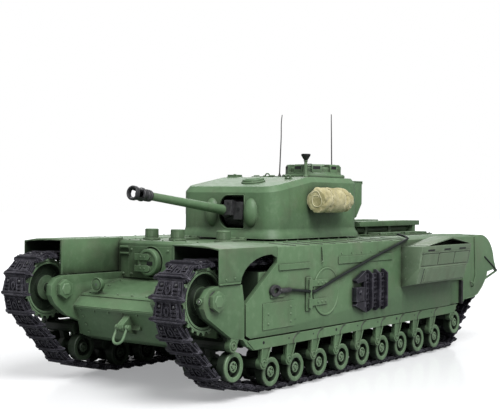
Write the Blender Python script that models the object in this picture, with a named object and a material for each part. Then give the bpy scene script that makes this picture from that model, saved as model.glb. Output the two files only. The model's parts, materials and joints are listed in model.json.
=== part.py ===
"""Radio-controlled model of a heavy infantry tank, 1:16 scale, as separate pieces.

Metres, +Z up. The front of the tank faces -Y and its left side is +X. The origin is on
the ground, under the middle of the tank. Every piece is its own object, and a piece that
moves has its origin on the axis it moves about.
"""
import bpy
import bmesh
from math import atan
from math import atan2
from math import ceil
from math import cos
from math import pi
from math import radians
from math import sin
from math import sqrt
from mathutils import Matrix
from mathutils import Vector

# ---------------------------------------------------------------- driving dimensions
HALF_LENGTH = 0.2331        # track front and stirrup tip, from the middle
ARMOUR_X = 0.0908           # outer face of the side armour
ARMOUR_PLATE = 0.0033
HULL_X = 0.0510             # outer face of the hull box between the tracks
TRACK_INNER_X = 0.0546
TRACK_OUTER_X = 0.0848
DECK_Z = 0.1016             # top of the hull roof and of the rear guards
DECK_EDGE_X = 0.0777        # where the side decks start to slope outwards
DECK_EDGE_Z = 0.1026
ARMOUR_TOP_Z = 0.1004
REAR_GUARD_Y = 0.1780
GUARD_CENTRE = (0.1930, 0.0720)
GUARD_LENGTH = 0.0330
GUARD_TIP = (0.2307, 0.0684)
HULL_SPLIT_Z = 0.0730       # where the upper hull sits on the lower hull
BELLY_Z = 0.0300
TOP_Z = 0.2075              # aerial tips
GAP = 0.0003                # clearance between pieces that rest on each other
WALL = 0.0025

# running gear, each centre as (y, z)
WHEEL_RADIUS = 0.0099
WHEEL_PITCH = 0.0311
WHEEL_INNER_X = 0.0516
WHEEL_OUTER_X = 0.0878
TRACK_THICKNESS = 0.0049
ROAD_WHEEL_Z = WHEEL_RADIUS + GAP + TRACK_THICKNESS
FIRST_WHEELS = {"left": (-0.1830, 0.0240), "right": (-0.1800, 0.0240)}
SECOND_WHEEL = (-0.1411, 0.0157)
THIRD_WHEEL_Y = -0.1110
LEVEL_WHEELS = 8
LAST_WHEEL = (0.1467, 0.0235)
SLACK_CENTRE = (0.1467, 0.0182)     # the belt hangs clear of the last wheel
SLACK_RADIUS = 0.0133
IDLER = (-0.2069, 0.0685)
IDLER_SLACK = {"left": 0.0063, "right": 0.0025}     # how far each belt hangs below the idler
SPROCKET = (0.1862, 0.0640)
RING_RADIUS = 0.0210        # idler and sprocket
RING_INNER_X = 0.0612
RING_OUTER_X = 0.0815
WHEEL_HUB = 0.0045          # the hub turns in the eye of its arm
EYE_RADIUS = 0.0074
EYE_INNER_X = 0.0676
EYE_OUTER_X = 0.0718
RING_BORE = 0.0034
RING_PIN = 0.0030
PIVOT_OFFSET = (-0.0121, 0.0072)    # suspension pivot, from the wheel's centre
FIRST_PIVOT_OFFSET = (-0.0041, 0.0141)
PIVOT_RADIUS = 0.0038
FRAME_INNER_X = 0.0555
FRAME_OUTER_X = 0.0902

# turret
RING_CENTRE_Y = -0.0130
TURRET_X = 0.0460
TURRET_FRONT_Y = -0.0810
TURRET_REAR_Y = 0.0566
TURRET_FRONT_ROUND = 0.0122
TURRET_REAR_ROUND = 0.0250
TURRET_BASE_Z = DECK_EDGE_Z + GAP     # the skirt swings over the side decks
SKIRT_FLARE = 0.0034
SKIRT_TOP_Z = 0.1095
ROOF_BREAK_Y = -0.0280
ROOF_Z = 0.1510
ROOF_SLOPE = 0.17           # rise over run of the front part of the roof
ROOF_EDGE = 0.0038          # width of the bevel around the roof
TURRET_WALL = 0.0030
TURRET_RING_RADIUS = 0.0330
TURRET_RING_BORE = 0.0260
VENTILATOR_CENTRE = (0.0086, -0.0555)

# gun
TRUNNION = (0.0, -0.0660, 0.1224)
GUN_ELEVATION = radians(6.7)
BARREL_ROOT_RADIUS = 0.0040
BARREL_TIP_RADIUS = 0.0030
BARREL_REAR = -0.0090       # along the bore from the trunnion, forward positive
BARREL_FRONT = 0.1023
MUZZLE_END = 0.1218

# cupola
CUPOLA_CENTRE = (0.0150, 0.0213)
CUPOLA_BASE_RADIUS = 0.0266
CUPOLA_RADIUS = 0.0215
CUPOLA_OPENING = 0.0150
CUPOLA_TOP_Z = 0.1600
PERISCOPE_TOP_Z = 0.1622

# hinges on the front
VISOR_CENTRE = (-0.0175, 0.0859)
VISOR_RADIUS = 0.0100
VISOR_THICKNESS = 0.0042
DRIVER_PLATE_Y = -0.1455
HULL_GUN_CENTRE = (0.0215, -0.1516, 0.0859)
SHACKLE_PIN = (0.0040, -0.1992, 0.0447)
SHACKLE_LEAN = radians(28.0)

SIDES = (("left", 1), ("right", -1))


# ---------------------------------------------------------------- materials
def paint(name, colour, roughness, metallic=0.0):
    material = bpy.data.materials.new(name)
    material.use_nodes = True
    shader = material.node_tree.nodes["Principled BSDF"]
    shader.inputs["Base Color"].default_value = (*colour, 1.0)
    shader.inputs["Roughness"].default_value = roughness
    shader.inputs["Metallic"].default_value = metallic
    material.diffuse_color = (*colour, 1.0)
    return material


def green_paint(name):
    return paint(name, (0.160, 0.235, 0.145), 0.55)


def dark_steel(name):
    return paint(name, (0.030, 0.030, 0.036), 0.45, 0.6)


def black_plastic(name):
    return paint(name, (0.015, 0.015, 0.017), 0.50)


def canvas(name):
    return paint(name, (0.520, 0.440, 0.240), 0.90)


# ---------------------------------------------------------------- solids
def circle_points(centre, radius, segments, start=0.0):
    turn = 2.0 * pi / segments
    points = []
    for index in range(segments):
        angle = start + index * turn
        points.append((centre[0] + radius * cos(angle), centre[1] + radius * sin(angle)))
    return points


def box_points(low, high):
    return [(low[0], low[1]), (high[0], low[1]), (high[0], high[1]), (low[0], high[1])]


def on_axis(axis, along, first, second):
    """A point from its place along an axis and its two other coordinates, in x, y, z order."""
    if axis == "x":
        return (along, first, second)
    if axis == "y":
        return (first, along, second)
    return (first, second, along)


def close_up(bm):
    bmesh.ops.recalc_face_normals(bm, faces=bm.faces)
    return bm


def prism(axis, low, high, outline):
    """A solid with a flat outline, between two places along an axis."""
    bm = bmesh.new()
    bottom = [bm.verts.new(on_axis(axis, low, *point)) for point in outline]
    top = [bm.verts.new(on_axis(axis, high, *point)) for point in outline]
    bm.faces.new(bottom)
    bm.faces.new(top)
    for index in range(len(outline)):
        following = (index + 1) % len(outline)
        bm.faces.new((bottom[index], bottom[following], top[following], top[index]))
    return close_up(bm)


def block(low, high):
    return prism("z", low[2], high[2], box_points(low, high))


def rod(axis, low, high, centre, radius, segments=16, start=0.0):
    return prism(axis, low, high, circle_points(centre, radius, segments, start))


def turned(axis, centre, profile, segments, bored=False):
    """A solid of revolution; profile holds (place along the axis, radius) pairs."""
    bm = bmesh.new()
    rings = []
    for along, radius in profile:
        ring = circle_points(centre, radius, segments)
        rings.append([bm.verts.new(on_axis(axis, along, *point)) for point in ring])
    pairs = list(zip(rings, rings[1:]))
    if bored:
        pairs.append((rings[-1], rings[0]))
    else:
        bm.faces.new(rings[0])
        bm.faces.new(rings[-1])
    for first, second in pairs:
        for index in range(segments):
            following = (index + 1) % segments
            bm.faces.new((first[index], first[following], second[following], second[index]))
    return close_up(bm)


def dome(centre, radii, segments=14, rings=8):
    bm = bmesh.new()
    bmesh.ops.create_uvsphere(bm, u_segments=segments, v_segments=rings, radius=1.0)
    place = Matrix.Translation(centre) @ Matrix.Diagonal((*radii, 1.0))
    bmesh.ops.transform(bm, matrix=place, verts=bm.verts)
    return close_up(bm)


def turn_about_x(bm, point, angle):
    """Turns a solid about an axis along X; a positive angle raises what lies towards -Y."""
    pivot = Vector(point)
    bmesh.ops.rotate(bm, cent=pivot, matrix=Matrix.Rotation(-angle, 3, "X"), verts=bm.verts)
    return bm


# ---------------------------------------------------------------- objects
def make_object(name, bm, origin):
    bmesh.ops.translate(bm, vec=-Vector(origin), verts=bm.verts)
    mesh = bpy.data.meshes.new(name)
    bm.to_mesh(mesh)
    bm.free()
    mesh.shade_smooth()
    mesh.set_sharp_from_angle(angle=radians(32.0))
    item = bpy.data.objects.new(name, mesh)
    item.location = origin
    bpy.context.scene.collection.objects.link(item)
    return item


def piece(name, bm, material, origin=(0.0, 0.0, 0.0)):
    item = make_object(name, bm, origin)
    item.data.materials.append(material)
    return item


def combine(item, operation, solids):
    """Joins solids to an object, or cuts them from it, with one Boolean each."""
    for number, bm in enumerate(solids):
        guide = make_object(f"{item.name}_{operation.lower()}_{number}", bm, (0.0, 0.0, 0.0))
        guide.hide_render = True
        guide.display_type = "WIRE"
        step = item.modifiers.new(guide.name, "BOOLEAN")
        step.operation = operation
        step.object = guide


def add(item, *solids):
    combine(item, "UNION", solids)


def cut(item, *solids):
    combine(item, "DIFFERENCE", solids)


def sided(side, low, high):
    """A range of x for one side of the tank, low to high."""
    return (low, high) if side > 0 else (-high, -low)


def slab(side, low, high, outline):
    """A plate lying fore and aft, with its outline as (y, z) points."""
    return prism("x", *sided(side, low, high), outline)


# ---------------------------------------------------------------- running gear
def wheel_centres(label):
    level = [(THIRD_WHEEL_Y + index * WHEEL_PITCH, ROAD_WHEEL_Z) for index in range(LEVEL_WHEELS)]
    return [FIRST_WHEELS[label], SECOND_WHEEL, *level, LAST_WHEEL]


def road_wheel_profile(side):
    """Two tyres on a hub, as (x, radius) pairs."""
    tyre = 0.0074
    outline = [
        (WHEEL_INNER_X, WHEEL_RADIUS),
        (WHEEL_INNER_X + tyre, WHEEL_RADIUS),
        (WHEEL_INNER_X + tyre, WHEEL_HUB),
        (WHEEL_OUTER_X - tyre, WHEEL_HUB),
        (WHEEL_OUTER_X - tyre, WHEEL_RADIUS),
        (WHEEL_OUTER_X, WHEEL_RADIUS),
    ]
    return [(side * x, radius) for x, radius in outline]


def ring_wheel_profile(side):
    """A spool with two rims on a hub, as (x, radius) pairs."""
    rim = 0.0050
    hub = 0.0090
    outline = [
        (RING_INNER_X, RING_BORE),
        (RING_INNER_X, RING_RADIUS),
        (RING_INNER_X + rim, RING_RADIUS),
        (RING_INNER_X + rim, hub),
        (RING_OUTER_X - rim, hub),
        (RING_OUTER_X - rim, RING_RADIUS),
        (RING_OUTER_X, RING_RADIUS),
        (RING_OUTER_X, RING_BORE),
    ]
    return [(side * x, radius) for x, radius in outline]


def make_wheels(label, side):
    middle = side * 0.5 * (WHEEL_INNER_X + WHEEL_OUTER_X)
    for number, (y, z) in enumerate(wheel_centres(label), start=1):
        name = f"{label}_road_wheel_{number:02d}"
        solid = turned("x", (y, z), road_wheel_profile(side), 12)
        piece(name, solid, green_paint(name), (middle, y, z))
    for name, (y, z) in ((f"{label}_idler_wheel", IDLER), (f"{label}_drive_sprocket", SPROCKET)):
        solid = turned("x", (y, z), ring_wheel_profile(side), 20, bored=True)
        piece(name, solid, green_paint(name), (middle, y, z))


def track_circles(label):
    """The circles the track wraps, each with its centre and the track's inner radius."""
    ring = RING_RADIUS + GAP
    hang = (IDLER[0], IDLER[1] - IDLER_SLACK[label])
    wheels = [(centre, WHEEL_RADIUS + GAP) for centre in wheel_centres(label)[:-1]]
    return [(IDLER, ring), (hang, ring), *wheels, (SLACK_CENTRE, SLACK_RADIUS), (SPROCKET, ring)]


def outward_normal(first, second):
    """The angle of the outer tangent's normal, going from one circle to the next."""
    (y1, z1), radius1 = first
    (y2, z2), radius2 = second
    distance = sqrt((y2 - y1) ** 2 + (z2 - z1) ** 2)
    lean = (radius1 - radius2) / distance
    along = ((y2 - y1) / distance, (z2 - z1) / distance)
    across = (along[1], -along[0])
    share = sqrt(1.0 - lean * lean)
    return atan2(along[1] * lean + across[1] * share, along[0] * lean + across[0] * share)


def track_stations(label):
    """Points around the loop as (centre, radius, angle of the outward normal)."""
    circles = track_circles(label)
    step = radians(15.0)
    stations = []
    for index, circle in enumerate(circles):
        arriving = outward_normal(circles[index - 1], circle)
        leaving = outward_normal(circle, circles[(index + 1) % len(circles)])
        sweep = (leaving - arriving) % (2.0 * pi)
        if sweep > 1.9 * pi:
            sweep = 0.0
        count = ceil(sweep / step - 0.001)
        for part in range(count + 1):
            share = part / count if count else 0.0
            stations.append((*circle, arriving + sweep * share))
    return stations


def make_track(label, side):
    bm = bmesh.new()
    rings = []
    for (y, z), radius, angle in track_stations(label):
        ring = []
        for x, height in (
            (TRACK_INNER_X, 0.0),
            (TRACK_OUTER_X, 0.0),
            (TRACK_OUTER_X, TRACK_THICKNESS),
            (TRACK_INNER_X, TRACK_THICKNESS),
        ):
            reach = radius + height
            ring.append(bm.verts.new((side * x, y + reach * cos(angle), z + reach * sin(angle))))
        rings.append(ring)
    for index, ring in enumerate(rings):
        following = rings[(index + 1) % len(rings)]
        for corner in range(4):
            other = (corner + 1) % 4
            bm.faces.new((ring[corner], ring[other], following[other], following[corner]))
    name = f"{label}_track"
    piece(name, close_up(bm), dark_steel(name))


# ---------------------------------------------------------------- track frames
def horn_outline():
    """The horn that carries the idler, as (y, z) points."""
    return [
        (-0.1787, 0.0774),
        (-0.2060, 0.0778),
        (-0.2130, 0.0762),
        (-0.2178, 0.0715),
        (-0.2182, 0.0645),
        (-0.2147, 0.0586),
        (-0.1904, 0.0440),
        (-0.1769, 0.0412),
        (-0.1720, 0.0360),
        (-0.1690, 0.0390),
        (-0.1758, 0.0420),
        (-0.1758, 0.0640),
    ]


def rail_outline():
    bottom = 0.0332
    top = 0.0400
    return [(-0.1740, 0.0380), (-0.1657, bottom), (0.1400, bottom), (0.1430, top), (-0.1700, top)]


def pivot_centre(number, centre):
    offset = FIRST_PIVOT_OFFSET if number == 0 else PIVOT_OFFSET
    return (centre[0] + offset[0], centre[1] + offset[1])


def gusset_outline(number, pivot):
    """The bracket that hangs from the rail and ends in the pivot."""
    top = 0.0450 if number == 0 else 0.0345
    half = 0.0028
    return [
        (pivot[0] - half, pivot[1]),
        (pivot[0] + half, pivot[1] - 0.0010),
        (pivot[0] + 0.0080, top),
        (pivot[0] - 0.0022, top),
    ]


def arm_outline(pivot, centre):
    """A link between two points, seen from the side."""
    along = Vector(centre) - Vector(pivot)
    across = Vector((-along.y, along.x)).normalized() * 0.0028
    start = Vector(pivot)
    end = Vector(centre) + along.normalized() * 0.0024
    return [tuple(start + across), tuple(start - across), tuple(end - across), tuple(end + across)]


def make_track_frame(label, side):
    name = f"{label}_track_frame"
    pannier = box_points((-0.1560, 0.0348), (0.1500, 0.0840))
    frame = piece(name, slab(side, FRAME_INNER_X, 0.0872, pannier), green_paint(name))
    inside = box_points((-0.1535, 0.0373), (0.1475, 0.0815))
    cut(frame, slab(side, FRAME_INNER_X - 0.001, 0.0845, inside))
    add(frame, slab(side, 0.0866, FRAME_OUTER_X, rail_outline()))
    add(frame, slab(side, 0.0836, FRAME_OUTER_X, horn_outline()))
    bridge = box_points((-0.1800, 0.0440), (-0.1540, 0.0600))
    add(frame, slab(side, 0.0838, 0.0870, bridge))
    add(frame, rod("x", *sided(side, RING_INNER_X - 0.002, 0.0850), IDLER, RING_PIN, 12))
    nut = rod("x", *sided(side, FRAME_OUTER_X - 0.001, 0.0936), IDLER, 0.0068, 6, pi / 6.0)
    add(frame, nut)
    for number, centre in enumerate(wheel_centres(label)):
        pivot = pivot_centre(number, centre)
        outer = FRAME_OUTER_X - 0.0002
        inner = 0.0838 if number == 0 else 0.0868
        add(frame, slab(side, inner, outer, gusset_outline(number, pivot)))
        add(frame, rod("x", *sided(side, FRAME_INNER_X + 0.0002, outer), pivot, PIVOT_RADIUS, 10))
        add(frame, slab(side, EYE_INNER_X, EYE_OUTER_X, arm_outline(pivot, centre)))
        add(frame, rod("x", *sided(side, EYE_INNER_X, EYE_OUTER_X), centre, EYE_RADIUS, 12))
        bore = sided(side, EYE_INNER_X - 0.001, EYE_OUTER_X + 0.001)
        cut(frame, rod("x", *bore, centre, WHEEL_HUB + GAP, 12))


# ---------------------------------------------------------------- side armour and guards
def arc_points(centre, radii, start, end, steps):
    points = []
    for index in range(steps + 1):
        angle = start + (end - start) * index / steps
        points.append((centre[0] + radii[0] * cos(angle), centre[1] + radii[1] * sin(angle)))
    return points


def rear_guard_points(inset):
    """The rounded tail of the armour, from the top to the tip of the hood."""
    y, z = GUARD_CENTRE
    radii = (GUARD_LENGTH - inset, DECK_Z - z - inset)
    crown = arc_points((y, z), radii, pi / 2.0, radians(10.0), 9)
    return [*crown, (GUARD_TIP[0] - inset, GUARD_TIP[1])]


def armour_outline():
    bottom = 0.0405
    return [
        (REAR_GUARD_Y, ARMOUR_TOP_Z),
        (-0.1395, ARMOUR_TOP_Z),
        (-0.1395, 0.0898),
        (-0.1751, 0.0643),
        (-0.1745, 0.0436),
        (-0.1700, bottom + 0.0009),
        (0.1560, bottom),
        (0.1600, 0.0435),
        (0.1797, 0.0442),
        (0.1890, 0.0466),
        (0.1983, 0.0523),
        (0.2079, 0.0606),
        (0.2100, 0.0662),
        *reversed(rear_guard_points(0.0)),
    ]


def stirrup_outline():
    """A bent bar that sticks out past the hood."""
    thick = 0.0016
    return [
        (0.2030, 0.0812),
        (HALF_LENGTH, 0.0666),
        (HALF_LENGTH, 0.0652),
        (0.1996, 0.0574),
        (0.2000, 0.0574 + thick),
        (HALF_LENGTH - 2.0 * thick, 0.0659),
        (0.2026, 0.0812 - thick),
    ]


def make_side_armour(label, side):
    name = f"{label}_side_armour"
    plate_inner = ARMOUR_X - ARMOUR_PLATE
    armour = piece(name, slab(side, plate_inner, ARMOUR_X, armour_outline()), green_paint(name))
    section = [
        (HULL_X + GAP, DECK_Z - 0.0034),
        (HULL_X + GAP, DECK_Z),
        (DECK_EDGE_X, DECK_EDGE_Z),
        (ARMOUR_X - 0.0002, ARMOUR_TOP_Z + 0.0001),
        (ARMOUR_X - 0.0002, DECK_Z - 0.0034),
    ]
    add(armour, prism("y", -0.1395, REAR_GUARD_Y, [(side * x, z) for x, z in section]))
    outer = rear_guard_points(0.0)
    inner = rear_guard_points(0.0022)
    front = REAR_GUARD_Y - 0.001
    hood = [(front, DECK_Z), *outer, *reversed(inner), (front, DECK_Z - 0.0022)]
    add(armour, slab(side, HULL_X + 0.0012, plate_inner + 0.001, hood))
    cut(armour, slab(side, 0.0860, ARMOUR_X + 0.001, box_points((0.1300, 0.0300), (0.1540, 0.0620))))
    add(armour, slab(side, 0.0876, 0.0890, box_points((0.1290, 0.0408), (0.1550, 0.0630))))
    add(armour, slab(side, ARMOUR_X - 0.0016, ARMOUR_X - 0.0001, stirrup_outline()))


def make_front_mudguard(label, side):
    name = f"{label}_front_mudguard"
    sheet = 0.0012
    inner = HULL_X + 0.0006
    low = 0.0782
    section = [
        (inner, low),
        (inner, 0.1030),
        (DECK_EDGE_X, 0.1030),
        (ARMOUR_X, 0.1012),
        (ARMOUR_X, low),
        (ARMOUR_X - sheet, low),
        (ARMOUR_X - sheet, 0.1012 - sheet),
        (DECK_EDGE_X - 0.0002, 0.1030 - sheet),
        (inner + sheet, 0.1030 - sheet),
        (inner + sheet, low),
    ]
    outline = [(side * x, z) for x, z in section]
    rear = -0.1395 - GAP
    guard = piece(name, prism("y", -0.2035, rear, outline), green_paint(name))
    arch = arc_points((-0.1465, low - 0.001), (0.0343, 0.0187), pi, pi / 2.0, 6)
    opening = [*arch, (rear + 0.001, 0.0928), (rear + 0.001, low - 0.001)]
    cut(guard, slab(side, 0.0870, ARMOUR_X + 0.001, opening))


def make_air_intake(label, side):
    """A gabled hood over a leaning louvre box, with a second box hung below it."""
    name = f"{label}_air_intake"
    inner = ARMOUR_X + GAP
    outer = 0.1100
    front = 0.0372
    rear = 0.1312
    shelf = 0.0790
    eaves = 0.0951
    peak = (0.0936, 0.1028)
    upper = [(inner, shelf - 0.0005), (0.1070, shelf - 0.0005), (outer, eaves), (outer, eaves + 0.0006),
             (inner, eaves + 0.0006)]
    lower = [(inner, 0.0624), (0.1044, 0.0654), (0.1078, shelf - 0.0010), (0.1078, shelf),
             (inner, shelf)]
    gable = [(front, eaves), (front + 0.0080, eaves + 0.0006), peak, (rear, eaves + 0.0006),
             (rear, eaves)]
    mouth = [(front + 0.0095, eaves + 0.0009), (peak[0], peak[1] - 0.0015),
             (rear - 0.0020, eaves + 0.0009)]
    solid = prism("y", front, rear, [(side * x, z) for x, z in upper])
    intake = piece(name, solid, green_paint(name))
    add(intake, prism("y", front, 0.1268, [(side * x, z) for x, z in lower]))
    add(intake, slab(side, inner, outer, gable))
    cut(intake, slab(side, 0.0965, outer + 0.001, mouth))


# ---------------------------------------------------------------- hull
def tub_outline():
    return [
        (-0.1855, 0.0340),
        (-0.1967, 0.0562),
        (-0.1885, 0.0640),
        (-0.1450, HULL_SPLIT_Z),
        (0.1880, HULL_SPLIT_Z),
        (0.2020, 0.0560),
        (0.1930, 0.0380),
        (0.1760, BELLY_Z),
        (-0.1750, BELLY_Z),
    ]


def inner_horn_outline():
    return [
        (-0.1461, 0.0700),
        (-0.1461, 0.0775),
        (-0.2060, 0.0778),
        (-0.2130, 0.0762),
        (-0.2178, 0.0715),
        (-0.2182, 0.0645),
        (-0.2147, 0.0586),
        (-0.2038, 0.0500),
        (-0.1871, 0.0434),
        (-0.1852, 0.0345),
        (-0.1700, 0.0310),
        (-0.1461, 0.0320),
    ]


def final_drive_outline():
    return [
        (0.1700, 0.0330),
        (0.1700, 0.0715),
        (0.1886, 0.0725),
        (0.1890, 0.0815),
        (0.2140, 0.0815),
        (0.2230, 0.0720),
        (0.2230, 0.0600),
        (0.2120, 0.0450),
        (0.1900, 0.0350),
    ]


def tow_lug_outline():
    y, z = SHACKLE_PIN[1:]
    return [
        (-0.1905, 0.0560),
        (y - 0.0024, z + 0.0016),
        (y - 0.0026, z - 0.0008),
        (y - 0.0010, z - 0.0024),
        (-0.1870, 0.0385),
        (-0.1850, 0.0500),
    ]


def make_lower_hull():
    hull = piece("lower_hull", prism("x", -0.0475, 0.0475, tub_outline()), green_paint("lower_hull"))
    cut(hull, block((-0.0435, -0.1420, BELLY_Z + WALL), (0.0435, 0.1800, 0.0800)))
    cut(hull, block((-0.0430, -0.1770, 0.0365), (0.0430, -0.1300, 0.0610)))
    for side in (1, -1):
        add(hull, slab(side, 0.0460, HULL_X, inner_horn_outline()))
        add(hull, slab(side, 0.0460, HULL_X, final_drive_outline()))
        skirt = box_points((-0.1500, BELLY_Z), (0.1720, HULL_SPLIT_Z - 0.0002))
        add(hull, slab(side, 0.0460, HULL_X - 0.0002, skirt))
        add(hull, rod("x", *sided(side, 0.0480, RING_OUTER_X + 0.002), SPROCKET, RING_PIN, 12))
        nut = rod("x", *sided(side, 0.0424, 0.0470), IDLER, 0.0068, 6, pi / 6.0)
        add(hull, nut)
    lug_x = SHACKLE_PIN[0]
    add(hull, prism("x", lug_x - 0.0025, lug_x + 0.0025, tow_lug_outline()))
    cut(hull, rod("x", lug_x - 0.004, lug_x + 0.004, SHACKLE_PIN[1:], 0.0015, 12))
    lamp = turned("y", (-0.0300, 0.0713), [(-0.1905, 0.0036), (-0.1860, 0.0036), (-0.1835, 0.0020)], 16)
    add(hull, block((-0.0312, -0.1870, 0.0640), (-0.0288, -0.1850, 0.0700)))
    add(hull, lamp)


def make_upper_hull():
    outline = [
        (DRIVER_PLATE_Y, HULL_SPLIT_Z + GAP),
        (DRIVER_PLATE_Y, DECK_Z - 0.0023),
        (DRIVER_PLATE_Y + 0.0020, DECK_Z - GAP),
        (0.1800, DECK_Z - GAP),
        (0.1880, 0.0880),
        (0.1880, HULL_SPLIT_Z + GAP),
    ]
    hull = piece("upper_hull", prism("x", -HULL_X, HULL_X, outline), green_paint("upper_hull"))
    inside = HULL_X - WALL
    cut(hull, block((-inside, -0.1425, 0.0700), (inside, 0.1780, DECK_Z - GAP - WALL)))
    centre = (0.0, RING_CENTRE_Y)
    cut(hull, rod("z", 0.0900, 0.1100, centre, TURRET_RING_RADIUS + 0.0015, 40))
    for x in (-0.0360, -0.0105, 0.0330):
        profile = [(0.0995, 0.0062), (0.1026, 0.0062), (0.1028, 0.0052), (0.1080, 0.0052)]
        add(hull, turned("z", (x, -0.1250), profile, 20))
    surround = rod("y", DRIVER_PLATE_Y - 0.0010, DRIVER_PLATE_Y + 0.001, VISOR_CENTRE, 0.0118, 24)
    add(hull, surround)


def make_engine_deck():
    top = DECK_Z + 0.0010
    deck = piece("engine_deck", block((-0.0485, 0.0725, DECK_Z), (0.0485, 0.1790, top)),
                 green_paint("engine_deck"))
    for side in (1, -1):
        low, high = sided(side, 0.0140, 0.0310)
        middle = 0.5 * (low + high)
        add(deck, block((low, 0.0740, 0.1096), (high, 0.1860, 0.1140)))
        add(deck, block((low + 0.0005, 0.1730, top - 0.0004), (high - 0.0005, 0.1785, 0.1105)))
        add(deck, block((middle - 0.004, 0.0900, top - 0.0004), (middle + 0.004, 0.0940, 0.1105)))
        add(deck, block((middle - 0.004, 0.1330, top - 0.0004), (middle + 0.004, 0.1370, 0.1105)))
        add(deck, rod("y", 0.0780, 0.1840, (middle, 0.1062), 0.0030, 12))


# ---------------------------------------------------------------- inside the hull
def make_inner_workings():
    floor = BELLY_Z + WALL + GAP
    gearbox = piece("drive_gearbox", block((-0.0425, 0.1480, floor), (0.0425, 0.1780, 0.0680)),
                    dark_steel("drive_gearbox"))
    for side in (1, -1):
        centre = (side * 0.0210, 0.0500)
        add(gearbox, rod("y", 0.1120, 0.1500, centre, 0.0140, 20))
    piece("battery_pack", block((-0.0350, 0.0200, floor), (0.0350, 0.1080, 0.0600)),
          black_plastic("battery_pack"))
    plate = block((-0.0380, -0.1000, floor + 0.006), (0.0380, -0.0400, floor + 0.008))
    board = piece("control_board", plate,
                  paint("control_board", (0.02, 0.12, 0.05), 0.4))
    for x in (-0.0330, 0.0330):
        for y in (-0.0950, -0.0450):
            add(board, rod("z", floor, floor + 0.007, (x, y), 0.0030, 10))
    add(board, block((-0.0250, -0.0900, floor + 0.0075), (-0.0050, -0.0650, floor + 0.0150)))
    add(board, block((0.0050, -0.0900, floor + 0.0075), (0.0280, -0.0700, floor + 0.0120)))
    motor_centre = (0.0, RING_CENTRE_Y + 0.0530)
    motor = piece("traverse_motor", rod("z", 0.0630, 0.0900, motor_centre, 0.0120, 20),
                  dark_steel("traverse_motor"))
    add(motor, rod("z", 0.0890, 0.0970, motor_centre, 0.0060, 12))


# ---------------------------------------------------------------- fittings on the outside
def make_tow_cable():
    """A wire rope along the left side, from its eye near the front up over the deck edge."""
    x = ARMOUR_X + 0.0016
    path = bpy.data.curves.new("tow_cable", "CURVE")
    path.dimensions = "3D"
    path.bevel_depth = 0.0011
    path.bevel_resolution = 1
    path.use_fill_caps = True
    line = path.splines.new("POLY")
    points = [
        (x, -0.1482, 0.0720),
        (x, -0.0962, 0.0676),
        (x, 0.0430, 0.1010),
        (ARMOUR_X - 0.0004, 0.0460, DECK_Z + 0.0014),
        (ARMOUR_X - 0.0150, 0.0520, DECK_EDGE_Z + 0.0020),
    ]
    line.points.add(len(points) - 1)
    for place, point in zip(line.points, points):
        place.co = (*point, 1.0)
    item = bpy.data.objects.new("tow_cable", path)
    path.materials.append(dark_steel("tow_cable"))
    bpy.context.scene.collection.objects.link(item)


def make_spare_links():
    name = "spare_track_links"
    inner = ARMOUR_X + GAP
    rack = piece(name, slab(1, inner, inner + 0.0016, box_points((-0.0400, 0.0560), (0.0075, 0.0700))),
                 dark_steel(name))
    for index in range(3):
        y = -0.0225 + index * 0.0108
        link = box_points((y, 0.0478), (y + 0.0088, 0.0790))
        add(rack, slab(1, inner + 0.0006, inner + 0.0058, link))
    add(rack, slab(1, inner + 0.0004, inner + 0.0060, box_points((-0.0390, 0.0590), (-0.0300, 0.0690))))


def make_driver_visor():
    name = "driver_visor"
    rear = DRIVER_PLATE_Y - 0.0010 - GAP
    front = rear - VISOR_THICKNESS
    hinge_x = VISOR_CENTRE[0] - VISOR_RADIUS - 0.0018
    axis = (hinge_x, front + 0.0016, VISOR_CENTRE[1])
    profile = [(rear, VISOR_RADIUS), (front + 0.001, VISOR_RADIUS), (front, VISOR_RADIUS - 0.0012)]
    visor = piece(name, turned("y", VISOR_CENTRE, profile, 24), green_paint(name), axis)
    for height in (-0.0055, 0.0055):
        z = VISOR_CENTRE[1] + height
        tail = VISOR_CENTRE[0] + 0.001
        strap = block((hinge_x, front - 0.0008, z - 0.0014), (tail, front + 0.001, z + 0.0014))
        add(visor, strap)
        add(visor, rod("z", z - 0.0018, z + 0.0018, (hinge_x, front + 0.0016), 0.0016, 12))


def make_hull_machine_gun():
    name = "hull_machine_gun"
    x, y, z = HULL_GUN_CENTRE
    mount = dome(HULL_GUN_CENTRE, (0.0055, 0.0055, 0.0055), 12, 8)
    gun = piece(name, mount, dark_steel(name), HULL_GUN_CENTRE)
    add(gun, rod("y", y - 0.0220, y - 0.003, (x, z), 0.0016, 12))


def make_tow_shackle():
    """A bow hanging from a pin through the lug."""
    x, y, z = SHACKLE_PIN
    half = 0.0050
    bar = 0.0010
    drop = 0.0085
    outer = arc_points((x, z - drop), (half, half), pi, 2.0 * pi, 10)
    inner = arc_points((x, z - drop), (half - 2.0 * bar, half - 2.0 * bar), 2.0 * pi, pi, 10)
    outline = [*outer, (x + half, z + bar), (x + half - 2.0 * bar, z + bar), *inner,
               (x - half + 2.0 * bar, z + bar), (x - half, z + bar)]
    bow = prism("y", y - bar, y + bar, outline)
    turn_about_x(bow, SHACKLE_PIN, SHACKLE_LEAN)
    shackle = piece("tow_shackle", bow, dark_steel("tow_shackle"), SHACKLE_PIN)
    add(shackle, rod("x", x - half - 0.0006, x + half + 0.0006, (y, z), bar * 0.95, 10))


# ---------------------------------------------------------------- turret
def turret_corner(centre, radius, start, steps):
    return arc_points(centre, (radius, radius), start, start + pi / 2.0, steps)


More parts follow.
